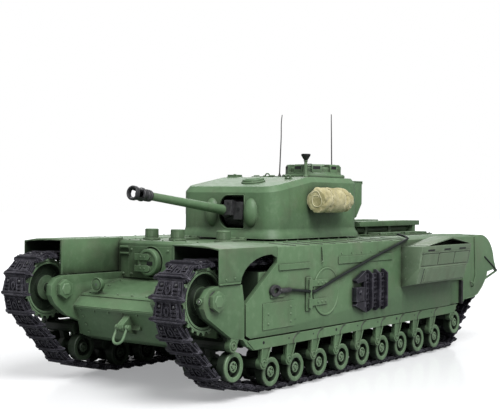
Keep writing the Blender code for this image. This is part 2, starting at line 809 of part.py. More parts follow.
def turret_plan(grow):
    """The turret seen from above, as (x, y) points, grown outwards by a distance."""
    front = TURRET_FRONT_ROUND
    rear = TURRET_REAR_ROUND
    front_y = TURRET_FRONT_Y + front
    rear_y = TURRET_REAR_Y - rear
    corners = [
        (TURRET_X - front, front_y, front, -pi / 2.0, 4),
        (TURRET_X - rear, rear_y, rear, 0.0, 6),
        (-TURRET_X + rear, rear_y, rear, pi / 2.0, 6),
        (-TURRET_X + front, front_y, front, pi, 4),
    ]
    points = []
    for number, (x, y, radius, start, steps) in enumerate(corners):
        if number == 1:
            points.append((TURRET_X + grow, ROOF_BREAK_Y))
        if number == 3:
            points.append((-TURRET_X - grow, ROOF_BREAK_Y))
        points.extend(turret_corner((x, y), radius + grow, start, steps))
    return points


def roof_height(y):
    return ROOF_Z + min(0.0, y - ROOF_BREAK_Y) * ROOF_SLOPE


def turret_body():
    """The cast shell's outside: flared skirt, upright wall, roof bevel and a roof in two planes."""
    levels = [
        (SKIRT_FLARE, lambda y: TURRET_BASE_Z),
        (SKIRT_FLARE * 0.85, lambda y: TURRET_BASE_Z + 0.0018),
        (SKIRT_FLARE * 0.25, lambda y: SKIRT_TOP_Z - 0.0024),
        (0.0, lambda y: SKIRT_TOP_Z),
        (0.0, lambda y: roof_height(y) - ROOF_EDGE),
        (-ROOF_EDGE, roof_height),
    ]
    bm = bmesh.new()
    rings = []
    for grow, height in levels:
        rings.append([bm.verts.new((x, y, height(y))) for x, y in turret_plan(grow)])
    count = len(rings[0])
    for lower, upper in zip(rings, rings[1:]):
        for index in range(count):
            following = (index + 1) % count
            bm.faces.new((lower[index], lower[following], upper[following], upper[index]))
    bm.faces.new(rings[0])
    limit = ROOF_BREAK_Y + 0.00001
    bm.faces.new([vert for vert in rings[-1] if vert.co.y >= ROOF_BREAK_Y - 0.00001])
    front = [index for index, vert in enumerate(rings[-1]) if vert.co.y <= limit]
    split = next(place for place, index in enumerate(front) if index != place)
    bm.faces.new([rings[-1][index] for index in front[split:] + front[:split]])
    return close_up(bm)


def mantlet_opening():
    """The gun opening in the turret face: square on one side, rounded on the other."""
    top = 0.1362
    bottom = 0.1098
    middle = 0.5 * (top + bottom)
    half = 0.5 * (top - bottom)
    left = arc_points((0.0030, middle), (0.0096, half), pi / 2.0, 1.5 * pi, 10)
    return [*left, (0.0188, bottom), (0.0188, top)]


def make_turret_shell():
    shell = piece("turret_shell", turret_body(), green_paint("turret_shell"))
    for x in (-0.0125, 0.0250):
        add(shell, dome((x, TURRET_FRONT_Y + 0.0010, TRUNNION[2]), (0.0064, 0.0060, 0.0115)))
    x, y = VENTILATOR_CENTRE
    z = roof_height(y)
    vent = turned("z", (x, y), [(z - 0.0020, 0.0090), (z + 0.0016, 0.0090), (z + 0.0024, 0.0080)], 24)
    add(shell, turn_about_x(vent, (x, y, z), -atan(ROOF_SLOPE)))
    add(shell, block((-0.0400, -0.0270, ROOF_Z - 0.0010), (-0.0290, -0.0190, ROOF_Z + 0.0026)))
    cut(shell, prism("z", TURRET_BASE_Z + 0.0030, 0.1345, turret_plan(-TURRET_WALL)))
    cut(shell, rod("z", 0.1000, 0.1100, (0.0, RING_CENTRE_Y), TURRET_RING_BORE, 32))
    cut(shell, prism("y", -0.0920, -0.0700, mantlet_opening()))


def make_turret_ring_gear():
    centre = (0.0, RING_CENTRE_Y)
    top = DECK_Z
    profile = [
        (0.0930, TURRET_RING_BORE),
        (top, TURRET_RING_BORE),
        (top, TURRET_RING_RADIUS),
        (0.0930, TURRET_RING_RADIUS),
    ]
    name = "turret_ring_gear"
    piece(name, turned("z", centre, profile, 36, bored=True), dark_steel(name))


def along_bore(distance):
    """A point on the bore before the gun is raised."""
    return TRUNNION[1] - distance


def make_mantlet():
    """A drum on the trunnions with the second gun's housing beside the barrel."""
    name = "mantlet"
    centre = TRUNNION[1:]
    drum = rod("x", -0.0048, 0.0182, centre, 0.0114, 20)
    mantlet = piece(name, drum, dark_steel(name), TRUNNION)
    housing = block((0.0006, along_bore(0.0185), centre[1] - 0.0046),
                    (0.0088, along_bore(0.0060), centre[1] + 0.0078))
    add(mantlet, turn_about_x(housing, TRUNNION, GUN_ELEVATION))
    bore = rod("y", -0.1000, -0.0300, (0.0, centre[1]), BARREL_ROOT_RADIUS + 0.0004, 20)
    cut(mantlet, turn_about_x(bore, TRUNNION, GUN_ELEVATION))
    second = rod("y", -0.1000, -0.0760, (0.0060, centre[1] + 0.0050), 0.0009, 10)
    cut(mantlet, turn_about_x(second, TRUNNION, GUN_ELEVATION))


def make_gun_barrel():
    profile = [
        (along_bore(BARREL_REAR), BARREL_ROOT_RADIUS),
        (along_bore(0.0330), BARREL_ROOT_RADIUS),
        (along_bore(0.0600), 0.5 * (BARREL_ROOT_RADIUS + BARREL_TIP_RADIUS)),
        (along_bore(BARREL_FRONT), BARREL_TIP_RADIUS),
    ]
    solid = turned("y", (0.0, TRUNNION[2]), profile, 16)
    turn_about_x(solid, TRUNNION, GUN_ELEVATION)
    piece("gun_barrel", solid, green_paint("gun_barrel"), TRUNNION)


def make_muzzle_brake():
    name = "muzzle_brake"
    start = BARREL_FRONT + GAP
    bore = 0.0019
    profile = [
        (along_bore(start), bore),
        (along_bore(start), 0.0037),
        (along_bore(start + 0.0012), 0.0043),
        (along_bore(start + 0.0045), 0.0043),
        (along_bore(start + 0.0052), 0.0036),
        (along_bore(start + 0.0075), 0.0036),
        (along_bore(start + 0.0098), 0.0050),
        (along_bore(MUZZLE_END - 0.0008), 0.0052),
        (along_bore(MUZZLE_END), 0.0047),
        (along_bore(MUZZLE_END), 0.0038),
        (along_bore(MUZZLE_END - 0.0092), 0.0034),
        (along_bore(MUZZLE_END - 0.0100), bore),
    ]
    solid = turned("y", (0.0, TRUNNION[2]), profile, 14, bored=True)
    turn_about_x(solid, TRUNNION, GUN_ELEVATION)
    brake = piece(name, solid, dark_steel(name), TRUNNION)
    port = block((-0.0080, along_bore(MUZZLE_END - 0.0034), TRUNNION[2] - 0.0024),
                 (0.0080, along_bore(MUZZLE_END - 0.0084), TRUNNION[2] + 0.0024))
    cut(brake, turn_about_x(port, TRUNNION, GUN_ELEVATION))


def make_stowage_bin():
    front = TURRET_REAR_Y + 0.0006
    outline = [(front, 0.1490), (0.0706, 0.1492), (0.0706, 0.1300), (0.0610, 0.1176), (front, 0.1176)]
    piece("stowage_bin", prism("x", -0.0340, 0.0340, outline), green_paint("stowage_bin"))


def make_canvas_roll():
    outline = arc_points((0.0547, 0.1327), (0.0082, 0.0098), 0.0, 2.0 * pi, 14)[:-1]
    piece("canvas_roll", prism("y", -0.0360, 0.0085, outline), canvas("canvas_roll"))


def make_receiver_post():
    """A short post with a mirror cone on top."""
    profile = [
        (ROOF_Z + GAP, 0.0022),
        (ROOF_Z + 0.0018, 0.0022),
        (ROOF_Z + 0.0028, 0.0011),
        (ROOF_Z + 0.0150, 0.0011),
        (ROOF_Z + 0.0185, 0.0038),
        (ROOF_Z + 0.0194, 0.0038),
    ]
    name = "receiver_post"
    piece(name, turned("z", (0.0255, -0.0062), profile, 14), black_plastic(name))


def make_aerials():
    for label, (x, y) in (("left", (0.0150, 0.0510)), ("right", (-0.0290, 0.0350))):
        profile = [
            (ROOF_Z + GAP, 0.0016),
            (ROOF_Z + 0.0030, 0.0012),
            (ROOF_Z + 0.0040, 0.0006),
            (TOP_Z - 0.001, 0.0005),
            (TOP_Z, 0.0004),
        ]
        name = f"{label}_aerial"
        piece(name, turned("z", (x, y), profile, 8), dark_steel(name))


def make_cupola():
    name = "cupola"
    base = ROOF_Z + GAP
    profile = [
        (base, CUPOLA_OPENING),
        (base, CUPOLA_BASE_RADIUS),
        (base + 0.0024, CUPOLA_BASE_RADIUS - 0.0006),
        (base + 0.0030, CUPOLA_RADIUS),
        (CUPOLA_TOP_Z - 0.001, CUPOLA_RADIUS),
        (CUPOLA_TOP_Z, CUPOLA_RADIUS - 0.001),
        (CUPOLA_TOP_Z, CUPOLA_OPENING),
    ]
    ring = piece(name, turned("z", CUPOLA_CENTRE, profile, 24, bored=True), green_paint(name))
    for index in range(7):
        angle = radians(-90.0 - 3 * 40.0 + index * 40.0)
        housing = block((0.0168, -0.0042, base + 0.0040), (0.0232, 0.0042, PERISCOPE_TOP_Z))
        place = Matrix.Translation((*CUPOLA_CENTRE, 0.0)) @ Matrix.Rotation(angle, 4, "Z")
        bmesh.ops.transform(housing, matrix=place, verts=housing.verts)
        add(ring, housing)


def make_cupola_hatch():
    name = "cupola_hatch"
    x, y = CUPOLA_CENTRE
    base = CUPOLA_TOP_Z + GAP
    hinge = (x, y + 0.0172, base + 0.0016)
    profile = [(base, 0.0160), (base + 0.0008, 0.0160), (base + 0.0016, 0.0148)]
    hatch = piece(name, turned("z", CUPOLA_CENTRE, profile, 24), green_paint(name), hinge)
    add(hatch, block((x - 0.0040, y + 0.0120, base + 0.0002), (x + 0.0040, y + 0.0172, base + 0.0014)))
    add(hatch, rod("x", x - 0.0046, x + 0.0046, (hinge[1], hinge[2]), 0.0014, 12))


# ---------------------------------------------------------------- the whole tank
def build_sides():
    for label, side in SIDES:
        make_wheels(label, side)
        make_track(label, side)
        make_track_frame(label, side)
        make_side_armour(label, side)
        make_front_mudguard(label, side)
        make_air_intake(label, side)


def build_hull():
    make_lower_hull()
    make_upper_hull()
    make_engine_deck()
    make_inner_workings()
    make_tow_cable()
    make_spare_links()
    make_driver_visor()
    make_hull_machine_gun()
    make_tow_shackle()


def build_turret():
    make_turret_shell()
    make_turret_ring_gear()
    make_mantlet()
    make_gun_barrel()
    make_muzzle_brake()
    make_stowage_bin()
    make_canvas_roll()
    make_receiver_post()
    make_aerials()
    make_cupola()
    make_cupola_hatch()


def main():
    for item in list(bpy.data.objects):
        bpy.data.objects.remove(item, do_unlink=True)
    build_sides()
    build_hull()
    build_turret()


main()
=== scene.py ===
"""The looks of the radio-controlled tank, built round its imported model.

Metres, +Z up. The front of the tank faces -Y and its left side is +X.
"""
import json
import math
import random

import bmesh
import bpy
from mathutils import Matrix
from mathutils import Vector
from mathutils import noise


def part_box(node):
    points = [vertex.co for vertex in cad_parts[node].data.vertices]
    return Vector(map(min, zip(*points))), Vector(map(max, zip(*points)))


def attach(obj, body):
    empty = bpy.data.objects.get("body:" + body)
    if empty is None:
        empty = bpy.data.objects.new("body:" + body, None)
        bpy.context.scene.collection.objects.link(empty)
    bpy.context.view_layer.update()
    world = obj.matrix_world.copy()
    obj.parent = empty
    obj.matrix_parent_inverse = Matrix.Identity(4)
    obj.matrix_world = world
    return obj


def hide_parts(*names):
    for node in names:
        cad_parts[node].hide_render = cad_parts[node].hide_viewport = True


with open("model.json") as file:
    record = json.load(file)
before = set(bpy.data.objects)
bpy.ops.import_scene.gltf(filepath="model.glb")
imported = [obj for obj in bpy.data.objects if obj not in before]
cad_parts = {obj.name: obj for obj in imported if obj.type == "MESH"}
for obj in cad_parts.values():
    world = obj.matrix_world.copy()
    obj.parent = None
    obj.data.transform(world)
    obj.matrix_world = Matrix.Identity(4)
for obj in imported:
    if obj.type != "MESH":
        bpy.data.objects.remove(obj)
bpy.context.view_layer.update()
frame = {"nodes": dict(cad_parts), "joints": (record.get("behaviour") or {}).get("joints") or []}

SIDES = (("left", 1), ("right", -1))
JOINTS = {joint["name"]: joint for joint in frame["joints"]}
GAP = 0.0003


def low(node):
    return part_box(node)[0]


def high(node):
    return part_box(node)[1]


def middle(node):
    return 0.5 * (low(node) + high(node))


def pivot(joint):
    return Vector(JOINTS[joint]["pos_m"])


# ---------------------------------------------------------------- places taken from the frame
ARMOUR_X = high("left_side_armour").x
ARMOUR_BOTTOM_Z = 0.0405
HULL_X = high("upper_hull").x
RAIL_X = 0.0902
TRACK_LOW, TRACK_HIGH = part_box("left_track")
TRACK_MIDDLE_X = 0.5 * (TRACK_LOW.x + TRACK_HIGH.x)
TRACK_HALF_WIDTH = 0.5 * (TRACK_HIGH.x - TRACK_LOW.x)
WHEELS = [f"left_road_wheel_{number:02d}" for number in range(1, 12)]
WHEEL_WIDTH = high(WHEELS[0]).x - low(WHEELS[0]).x
WHEEL_RADIUS = 0.5 * (high(WHEELS[0]).z - low(WHEELS[0]).z)
RING_RADIUS = 0.5 * (high("left_idler_wheel").z - low("left_idler_wheel").z)
RING_WIDTH = high("left_idler_wheel").x - low("left_idler_wheel").x
BELT_THICKNESS = low(WHEELS[2]).z - GAP
TRUNNION = pivot("gun_elevation")
BORE = -Vector(JOINTS["gun_recoil"]["axis"])
GUN_ELEVATION = math.asin(BORE.z)
TURRET_CENTRE = pivot("turret_traverse")
ROOF_Z = low("cupola").z - GAP


# ---------------------------------------------------------------- solids
def on_axis(axis, along, first, second):
    """A point from its place along an axis and its two other coordinates, in x, y, z order."""
    if axis == "x":
        return (along, first, second)
    if axis == "y":
        return (first, along, second)
    return (first, second, along)


def closed_up(bm):
    bmesh.ops.recalc_face_normals(bm, faces=bm.faces)
    return bm


def loft(rings, looped=False):
    """A solid through rings of points; looped joins the last ring to the first."""
    bm = bmesh.new()
    rows = [[bm.verts.new(point) for point in ring] for ring in rings]
    pairs = list(zip(rows, rows[1:]))
    if looped:
        pairs.append((rows[-1], rows[0]))
    else:
        bm.faces.new(rows[0])
        bm.faces.new(rows[-1])
    count = len(rows[0])
    for first, second in pairs:
        for index in range(count):
            after = (index + 1) % count
            bm.faces.new((first[index], first[after], second[after], second[index]))
    return closed_up(bm)


def prism(axis, start, end, outline):
    return loft([[on_axis(axis, place, *point) for point in outline] for place in (start, end)])


def block(corner, opposite):
    (x1, y1, z1), (x2, y2, z2) = corner, opposite
    return prism("z", z1, z2, [(x1, y1), (x2, y1), (x2, y2), (x1, y2)])


def arc(centre, radii, start, end, steps):
    points = []
    for index in range(steps + 1):
        angle = math.radians(start + (end - start) * index / steps)
        points.append((centre[0] + radii[0] * math.cos(angle), centre[1] + radii[1] * math.sin(angle)))
    return points


def circle(centre, radius, segments, turn=0.0):
    return arc(centre, (radius, radius), turn, turn + 360.0, segments)[:-1]


def rod(axis, start, end, centre, radius, segments=24, turn=0.0):
    return prism(axis, start, end, circle(centre, radius, segments, turn))


def turned(axis, centre, profile, segments=48, looped=False):
    """A solid of revolution; profile holds (place along the axis, radius) pairs."""
    rings = []
    for along, radius in profile:
        ring = circle(centre, max(radius, 0.0), segments)
        rings.append([on_axis(axis, along, *point) for point in ring])
    bm = loft(rings, looped)
    bmesh.ops.remove_doubles(bm, verts=bm.verts, dist=1e-7)
    return closed_up(bm)


def ball(centre, radii, segments=28, rings=16):
    bm = bmesh.new()
    bmesh.ops.create_uvsphere(bm, u_segments=segments, v_segments=rings, radius=1.0)
    return placed(bm, Matrix.Translation(centre) @ Matrix.Diagonal((*radii, 1.0)))


def placed(bm, matrix):
    bmesh.ops.transform(bm, matrix=matrix, verts=bm.verts)
    if matrix.determinant() < 0.0:
        bmesh.ops.reverse_faces(bm, faces=bm.faces)
    return bm


def mirrored(bm):
    return placed(bm, Matrix.Diagonal((-1.0, 1.0, 1.0, 1.0)))


def sided(bm, side):
    return bm if side > 0 else mirrored(bm)


def together(solids):
    """Several solids in one mesh."""
    result = bmesh.new()
    for solid in solids:
        mesh = bpy.data.meshes.new("part")
        solid.to_mesh(mesh)
        solid.free()
        result.from_mesh(mesh)
        bpy.data.meshes.remove(mesh)
    return result


def repeated(solid, matrices):
    mesh = bpy.data.meshes.new("part")
    solid.to_mesh(mesh)
    solid.free()
    result = bmesh.new()
    for matrix in matrices:
        copy = mesh.copy()
        copy.transform(matrix)
        result.from_mesh(copy)
        bpy.data.meshes.remove(copy)
    bpy.data.meshes.remove(mesh)
    return result


def cable(points, radius, sides=12, looped=False, shape=None):
    """A tube along a line of points, carried round bends without twisting."""
    points = [Vector(point) for point in points]
    count = len(points)
    across = None
    rings = []
    for index, point in enumerate(points):
        before = points[(index - 1) % count] if looped or index else point
        after = points[(index + 1) % count] if looped or index < count - 1 else point
        along = (after - before).normalized()
        if across is None:
            across = along.orthogonal().normalized()
        across = (across - along * across.dot(along)).normalized()
        up = along.cross(across)
        reach = radius(index / (count - 1)) if callable(radius) else radius
        ring = shape(index) if shape else circle((0.0, 0.0), 1.0, sides)
        rings.append([point + reach * (across * a + up * b) for a, b in ring])
    return loft(rings, looped)


def along_curve(points, steps):
    """A smooth line through points, by Catmull-Rom."""
    points = [Vector(point) for point in points]
    ends = [2 * points[0] - points[1], *points, 2 * points[-1] - points[-2]]
    line = []
    for first, second, third, fourth in zip(ends, ends[1:], ends[2:], ends[3:]):
        for step in range(steps):
            t = step / steps
            line.append(0.5 * (2 * second + (third - first) * t
                               + (2 * first - 5 * second + 4 * third - fourth) * t ** 2
                               + (3 * second - first - 3 * third + fourth) * t ** 3))
    line.append(points[-1])
    return line


def hex_bolt(axis, base, height, centre, radius):
    """A bolt head with a rounded top, standing on a face."""
    top = base + height
    shoulder = base + 0.7 * height
    return turned(axis, centre, [(base, radius), (shoulder, radius), (top, 0.72 * radius)], 6)


def turn_about_x(bm, point, angle):
    """A positive angle raises what lies towards -Y."""
    bmesh.ops.rotate(bm, cent=Vector(point), matrix=Matrix.Rotation(-angle, 3, "X"), verts=bm.verts)
    return bm


def raised_gun(bm):
    return turn_about_x(bm, TRUNNION, GUN_ELEVATION)


# ---------------------------------------------------------------- pieces
def apply_modifiers(item):
    graph = bpy.context.evaluated_depsgraph_get()
    mesh = bpy.data.meshes.new_from_object(item.evaluated_get(graph))
    item.modifiers.clear()
    item.data = mesh


def bare_object(name, bm):
    mesh = bpy.data.meshes.new(name)
    bm.to_mesh(mesh)
    bm.free()
    item = bpy.data.objects.new(name, mesh)
    bpy.context.scene.collection.objects.link(item)
    return item


def carved(solid, operation, *others):
    """A solid after Booleans with other solids."""
    item = bare_object("carved", solid)
    guides = []
    for other in others:
        guide = bare_object("guide", other)
        step = item.modifiers.new("step", "BOOLEAN")
        step.operation = operation
        step.object = guide
        guides.append(guide)
    apply_modifiers(item)
    result = bmesh.new()
    result.from_mesh(item.data)
    for done in (item, *guides):
        bpy.data.objects.remove(done)
    return result


def cut(solid, *others):
    return carved(solid, "DIFFERENCE", *others)


def bevel_edges(item, width, angle=34.0, segments=2):
    step = item.modifiers.new("bevel", "BEVEL")
    step.width = width
    step.segments = segments
    step.limit_method = "ANGLE"
    step.angle_limit = math.radians(angle)
    step.use_clamp_overlap = True
    item.modifiers.new("normals", "WEIGHTED_NORMAL")


def piece(name, solid, material, body, bevel=0.0, replaces=(), place=None):
    item = bare_object(name, solid)
    item.data.materials.append(material)
    item.data.shade_smooth()
    if bevel:
        bevel_edges(item, bevel)
    else:
        item.data.set_sharp_from_angle(angle=math.radians(36.0))
    if place is not None:
        item.location = place
    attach(item, body)
    if replaces:
        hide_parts(*replaces)
    return item


# ---------------------------------------------------------------- materials
def new_node(tree, kind, inputs=None, **settings):
    node = tree.nodes.new("ShaderNode" + kind)
    for key, value in settings.items():
        setattr(node, key, value)
    for key, value in (inputs or {}).items():
        if isinstance(value, bpy.types.NodeSocket):
            tree.links.new(value, node.inputs[key])
        else:
            node.inputs[key].default_value = value
    return node


def maths(tree, operation, first, second=0.0):
    return new_node(tree, "Math", {0: first, 1: second}, operation=operation).outputs[0]


def mix_colours(tree, factor, first, second, blend="MIX"):
    colours = [(*colour, 1.0) if isinstance(colour, tuple) else colour for colour in (first, second)]
    inputs = {0: factor, 6: colours[0], 7: colours[1]}
    return new_node(tree, "Mix", inputs, data_type="RGBA", blend_type=blend).outputs[2]


def noise_value(tree, scale, detail=3.0, roughness=0.55, stretch=None):
    place = new_node(tree, "TexCoord").outputs["Object"]
    if stretch:
        place = new_node(tree, "Mapping", {"Vector": place, "Scale": stretch}).outputs[0]
    inputs = {"Vector": place, "Scale": scale, "Detail": detail, "Roughness": roughness}
    return new_node(tree, "TexNoise", inputs).outputs[0]


def between(tree, value, start, end, to_start=0.0, to_end=1.0):
    inputs = {0: value, 1: start, 2: end, 3: to_start, 4: to_end}
    return new_node(tree, "MapRange", inputs).outputs[0]


def worn_and_highlit_edges(tree, radius, strength):
    """1 along edges and 0 on faces, broken up by noise; a mask for edge wear together with a painted highlight."""
    rounded = new_node(tree, "Bevel", {"Radius": radius}, samples=4).outputs[0]
    flat = new_node(tree, "NewGeometry").outputs["Normal"]
    turn = new_node(tree, "VectorMath", {0: rounded, 1: flat}, operation="DOT_PRODUCT").outputs["Value"]
    edge = between(tree, turn, 0.995, 0.86)
    patchy = between(tree, noise_value(tree, 240.0, 5.0), 0.30, 0.62, 0.25, 1.0)
    return maths(tree, "MULTIPLY", maths(tree, "MULTIPLY", edge, patchy), strength)


def cavities(tree, distance, strength):
    """1 deep in corners and 0 in the open, broken up by noise; a mask for painted shade in corners."""
    open_sky = new_node(tree, "AmbientOcclusion", {"Distance": distance}, samples=6).outputs["AO"]
    closed_in = between(tree, open_sky, 0.92, 0.30)
    patchy = between(tree, noise_value(tree, 70.0, 4.0), 0.30, 0.65, 0.45, 1.0)
    return maths(tree, "MULTIPLY", maths(tree, "MULTIPLY", closed_in, patchy), strength)


def behind_face(tree, kind, face):
    """1 on whatever lies behind a face that looks out along X, and 0 on the face; a mask for painted shade behind the
    face.
    """
    if kind == "world":
        place = new_node(tree, "NewGeometry").outputs["Position"]
    else:
        place = new_node(tree, "TexCoord").outputs["Object"]
    across = maths(tree, "ABSOLUTE", new_node(tree, "SeparateXYZ", {0: place}).outputs[0])
    return between(tree, across, face - 0.0020, face - 0.0009, 1.0, 0.0)


def inside_hood(tree, side):
    """1 on the faces that look in towards the line along the middle of a mudguard; a mask for painted shade inside the
    hood.
    """
    geometry = new_node(tree, "NewGeometry")
    inward = new_node(tree, "VectorMath", {0: (side * TRACK_MIDDLE_X, 0.0, 0.084), 1: geometry.outputs["Position"]},
                      operation="SUBTRACT").outputs["Vector"]
    flat = new_node(tree, "VectorMath", {0: inward, 1: (1.0, 0.0, 1.0)}, operation="MULTIPLY").outputs["Vector"]
    facing = new_node(tree, "VectorMath", {0: flat, 1: geometry.outputs["True Normal"]}, operation="DOT_PRODUCT")
    return between(tree, facing.outputs["Value"], 0.0, 0.001)


def bumped(tree, heights):
    """A normal from (value, depth) pairs, one over the other."""
    normal = None
    for value, depth in heights:
        inputs = {"Height": value, "Distance": depth, "Strength": 1.0}
        if normal is not None:
            inputs["Normal"] = normal
        normal = new_node(tree, "Bump", inputs).outputs[0]
    return normal


def start_material(name):
    material = bpy.data.materials.new(name)
    material.use_nodes = True
    return material, material.node_tree, material.node_tree.nodes["Principled BSDF"]


def finish_material(tree, shader, colour, roughness, normal, metallic=0.0):
    tree.links.new(colour, shader.inputs["Base Color"])
    tree.links.new(roughness, shader.inputs["Roughness"])
    tree.links.new(normal, shader.inputs["Normal"])
    shader.inputs["Metallic"].default_value = metallic


def painted(name, colour, lighter, darker, grime_and_shade, wear_and_highlight=0.55, dirt_and_shade=0.75, rough=0.50, cast=0.0, painted_shade_mask=None):
    """Airbrushed model paint: broad changes of tone, dust and stains, grime and painted shade in corners, painted shade
    deep under parts and, with a mask, behind faces, and edges lighter with wear and a painted highlight.
    """
    material, tree, shader = start_material(name)
    broad = noise_value(tree, 16.0, 2.0)
    fine = noise_value(tree, 190.0, 6.0, 0.65)
    coat = mix_colours(tree, between(tree, broad, 0.36, 0.64), darker, colour)
    coat = mix_colours(tree, between(tree, fine, 0.50, 0.80, 0.0, 0.30), coat, lighter)
    patches = noise_value(tree, 34.0, 5.0, 0.62)
    coat = mix_colours(tree, between(tree, patches, 0.50, 0.72, 0.0, 0.42), coat, DUST)
    streaks = noise_value(tree, 90.0, 4.0, 0.6, (1.0, 1.0, 0.18))
    stained = between(tree, streaks, 0.56, 0.78, 0.0, 0.35)
    coat = mix_colours(tree, stained, coat, grime_and_shade)
    # Grime and painted shade in corners and recesses, from an occlusion mask.
    coat = mix_colours(tree, cavities(tree, 0.0060, dirt_and_shade), coat, grime_and_shade)
    # Painted shade deep under and between parts, from a wide occlusion mask.
    coat = mix_colours(tree, cavities(tree, 0.0350, 0.80), coat, SHADOW)
    # Edges lighter with wear and a painted highlight.
    coat = mix_colours(tree, worn_and_highlit_edges(tree, 0.0007, wear_and_highlight), coat, lighter)
    # Painted shade, nearly black, on what lies behind a face or inside a hood.
    if painted_shade_mask:
        coat = mix_colours(tree, maths(tree, "MULTIPLY", painted_shade_mask(tree), 0.88), coat, DEEP_SHADE)
    roughness = between(tree, fine, 0.3, 0.7, rough - 0.06, rough + 0.10)
    normal = bumped(tree, [(noise_value(tree, 320.0, 4.0), 0.00005 + cast), (fine, 0.00003)])
    finish_material(tree, shader, coat, roughness, normal)
    return material


def rubbed_metal(name, colour, rubbed_and_highlight, rough, metallic, wear_and_highlight, radius=0.0005):
    """Dark metal whose raised edges are rubbed bright with wear and a painted highlight, and whose hollows are darkened
    nearly to black as painted shade.
    """
    material, tree, shader = start_material(name)
    fine = noise_value(tree, 420.0, 5.0, 0.6)
    darker = tuple(0.55 * channel for channel in colour)
    coat = mix_colours(tree, between(tree, fine, 0.35, 0.70), darker, colour)
    coat = mix_colours(tree, between(tree, noise_value(tree, 120.0), 0.55, 0.75, 0.0, 0.25), coat, rubbed_and_highlight)
    # Painted shade, nearly black, in hollows.
    coat = mix_colours(tree, cavities(tree, 0.0030, 0.85), coat, tuple(0.15 * channel for channel in colour))
    coat = mix_colours(tree, worn_and_highlit_edges(tree, radius, wear_and_highlight), coat, rubbed_and_highlight)
    roughness = between(tree, fine, 0.3, 0.7, rough - 0.08, rough + 0.12)
    normal = bumped(tree, [(noise_value(tree, 900.0, 3.0), 0.00006), (fine, 0.00004)])
    finish_material(tree, shader, coat, roughness, normal, metallic)
    return material


def canvas_cloth(name):
    """Khaki canvas with a fine weave, lighter along its folds as a painted highlight and darker in its creases as
    painted shade.
    """
    material, tree, shader = start_material(name)
    place = new_node(tree, "TexCoord").outputs["Object"]
    weave = []
    for direction in ("Y", "Z"):
        inputs = {"Vector": place, "Scale": 700.0, "Distortion": 0.6, "Detail": 1.0}
        weave.append(new_node(tree, "TexWave", inputs, bands_direction=direction).outputs[1])
    threads = maths(tree, "MULTIPLY", weave[0], weave[1])
    broad = noise_value(tree, 110.0, 3.0)
    coat = mix_colours(tree, between(tree, broad, 0.35, 0.65), (0.38, 0.34, 0.16), (0.68, 0.62, 0.36))
    coat = mix_colours(tree, between(tree, threads, 0.0, 0.8, 0.22, 0.0), coat, (0.28, 0.25, 0.11))
    # Painted shade in the creases.
    coat = mix_colours(tree, cavities(tree, 0.0045, 0.95), coat, (0.10, 0.095, 0.040))
    # Painted highlight along the folds.
    coat = mix_colours(tree, worn_and_highlit_edges(tree, 0.0014, 0.8), coat, (0.88, 0.84, 0.64))
    normal = bumped(tree, [(noise_value(tree, 260.0, 5.0), 0.0003), (threads, 0.00006)])
    finish_material(tree, shader, coat, between(tree, broad, 0.3, 0.7, 0.85, 0.95), normal)
    shader.inputs["Sheen Weight"].default_value = 0.25
    return material


# The grime colour also paints shade into corners.
GRIME_AND_SHADE = (0.050, 0.047, 0.030)
DUST = (0.150, 0.155, 0.108)
# Painted shade deep under and between parts.
SHADOW = (0.016, 0.024, 0.015)
# Painted shade for what lies behind the wheel faces and the rail, and inside the mudguards.
DEEP_SHADE = (0.006, 0.012, 0.006)
GREEN = painted("green_paint", (0.128, 0.226, 0.114), (0.280, 0.400, 0.250), (0.102, 0.186, 0.092), GRIME_AND_SHADE)
CAST_GREEN = painted("cast_green_paint", (0.122, 0.220, 0.110), (0.280, 0.400, 0.250), (0.096, 0.180, 0.088), GRIME_AND_SHADE,
                     cast=0.00008)
# A lighter copy of the green for the nuts and the shackle: a painted highlight on small raised parts.
LIGHT_GREEN = painted("light_green_paint", (0.175, 0.290, 0.160), (0.340, 0.480, 0.300), (0.130, 0.222, 0.116),
                      (0.022, 0.032, 0.018), wear_and_highlight=0.7, dirt_and_shade=0.95)
# A lighter copy of the green for the air intake: painted light on its leaning faces.
LIT_GREEN = painted("lit_green_paint", (0.190, 0.270, 0.170), (0.360, 0.440, 0.330), (0.150, 0.222, 0.134), GRIME_AND_SHADE)
# Dark green for painted shade along the deck ribs and in the rail joints.
SHADE_GREEN = painted("painted_shade_green", (0.040, 0.062, 0.034), (0.120, 0.160, 0.105), (0.030, 0.046, 0.026),
                     (0.020, 0.020, 0.014))
# The wheels' lighter green is partly dry-brushed wear and partly a painted highlight; what lies behind each outer face
# gets painted shade.
WHEEL_GREEN = painted("wheel_paint", (0.175, 0.290, 0.160), (0.360, 0.500, 0.320), (0.130, 0.222, 0.116),
                      (0.022, 0.032, 0.018), wear_and_highlight=0.8, dirt_and_shade=0.95,
                      painted_shade_mask=lambda tree: behind_face(tree, "world", high(WHEELS[0]).x))
# What lies behind the outer faces of the idlers and sprockets gets painted shade.
RING_GREEN = painted("ring_paint", (0.150, 0.255, 0.136), (0.360, 0.500, 0.320), (0.110, 0.196, 0.100),
                     (0.022, 0.032, 0.018), wear_and_highlight=0.8, dirt_and_shade=0.95,
                     painted_shade_mask=lambda tree: behind_face(tree, "object", 0.5 * RING_WIDTH))
# The frame behind the rail gets painted shade.
FRAME_GREEN = painted("frame_paint", (0.128, 0.226, 0.114), (0.280, 0.400, 0.250), (0.102, 0.186, 0.092), GRIME_AND_SHADE,
                      painted_shade_mask=lambda tree: behind_face(tree, "world", RAIL_X - 0.0024))
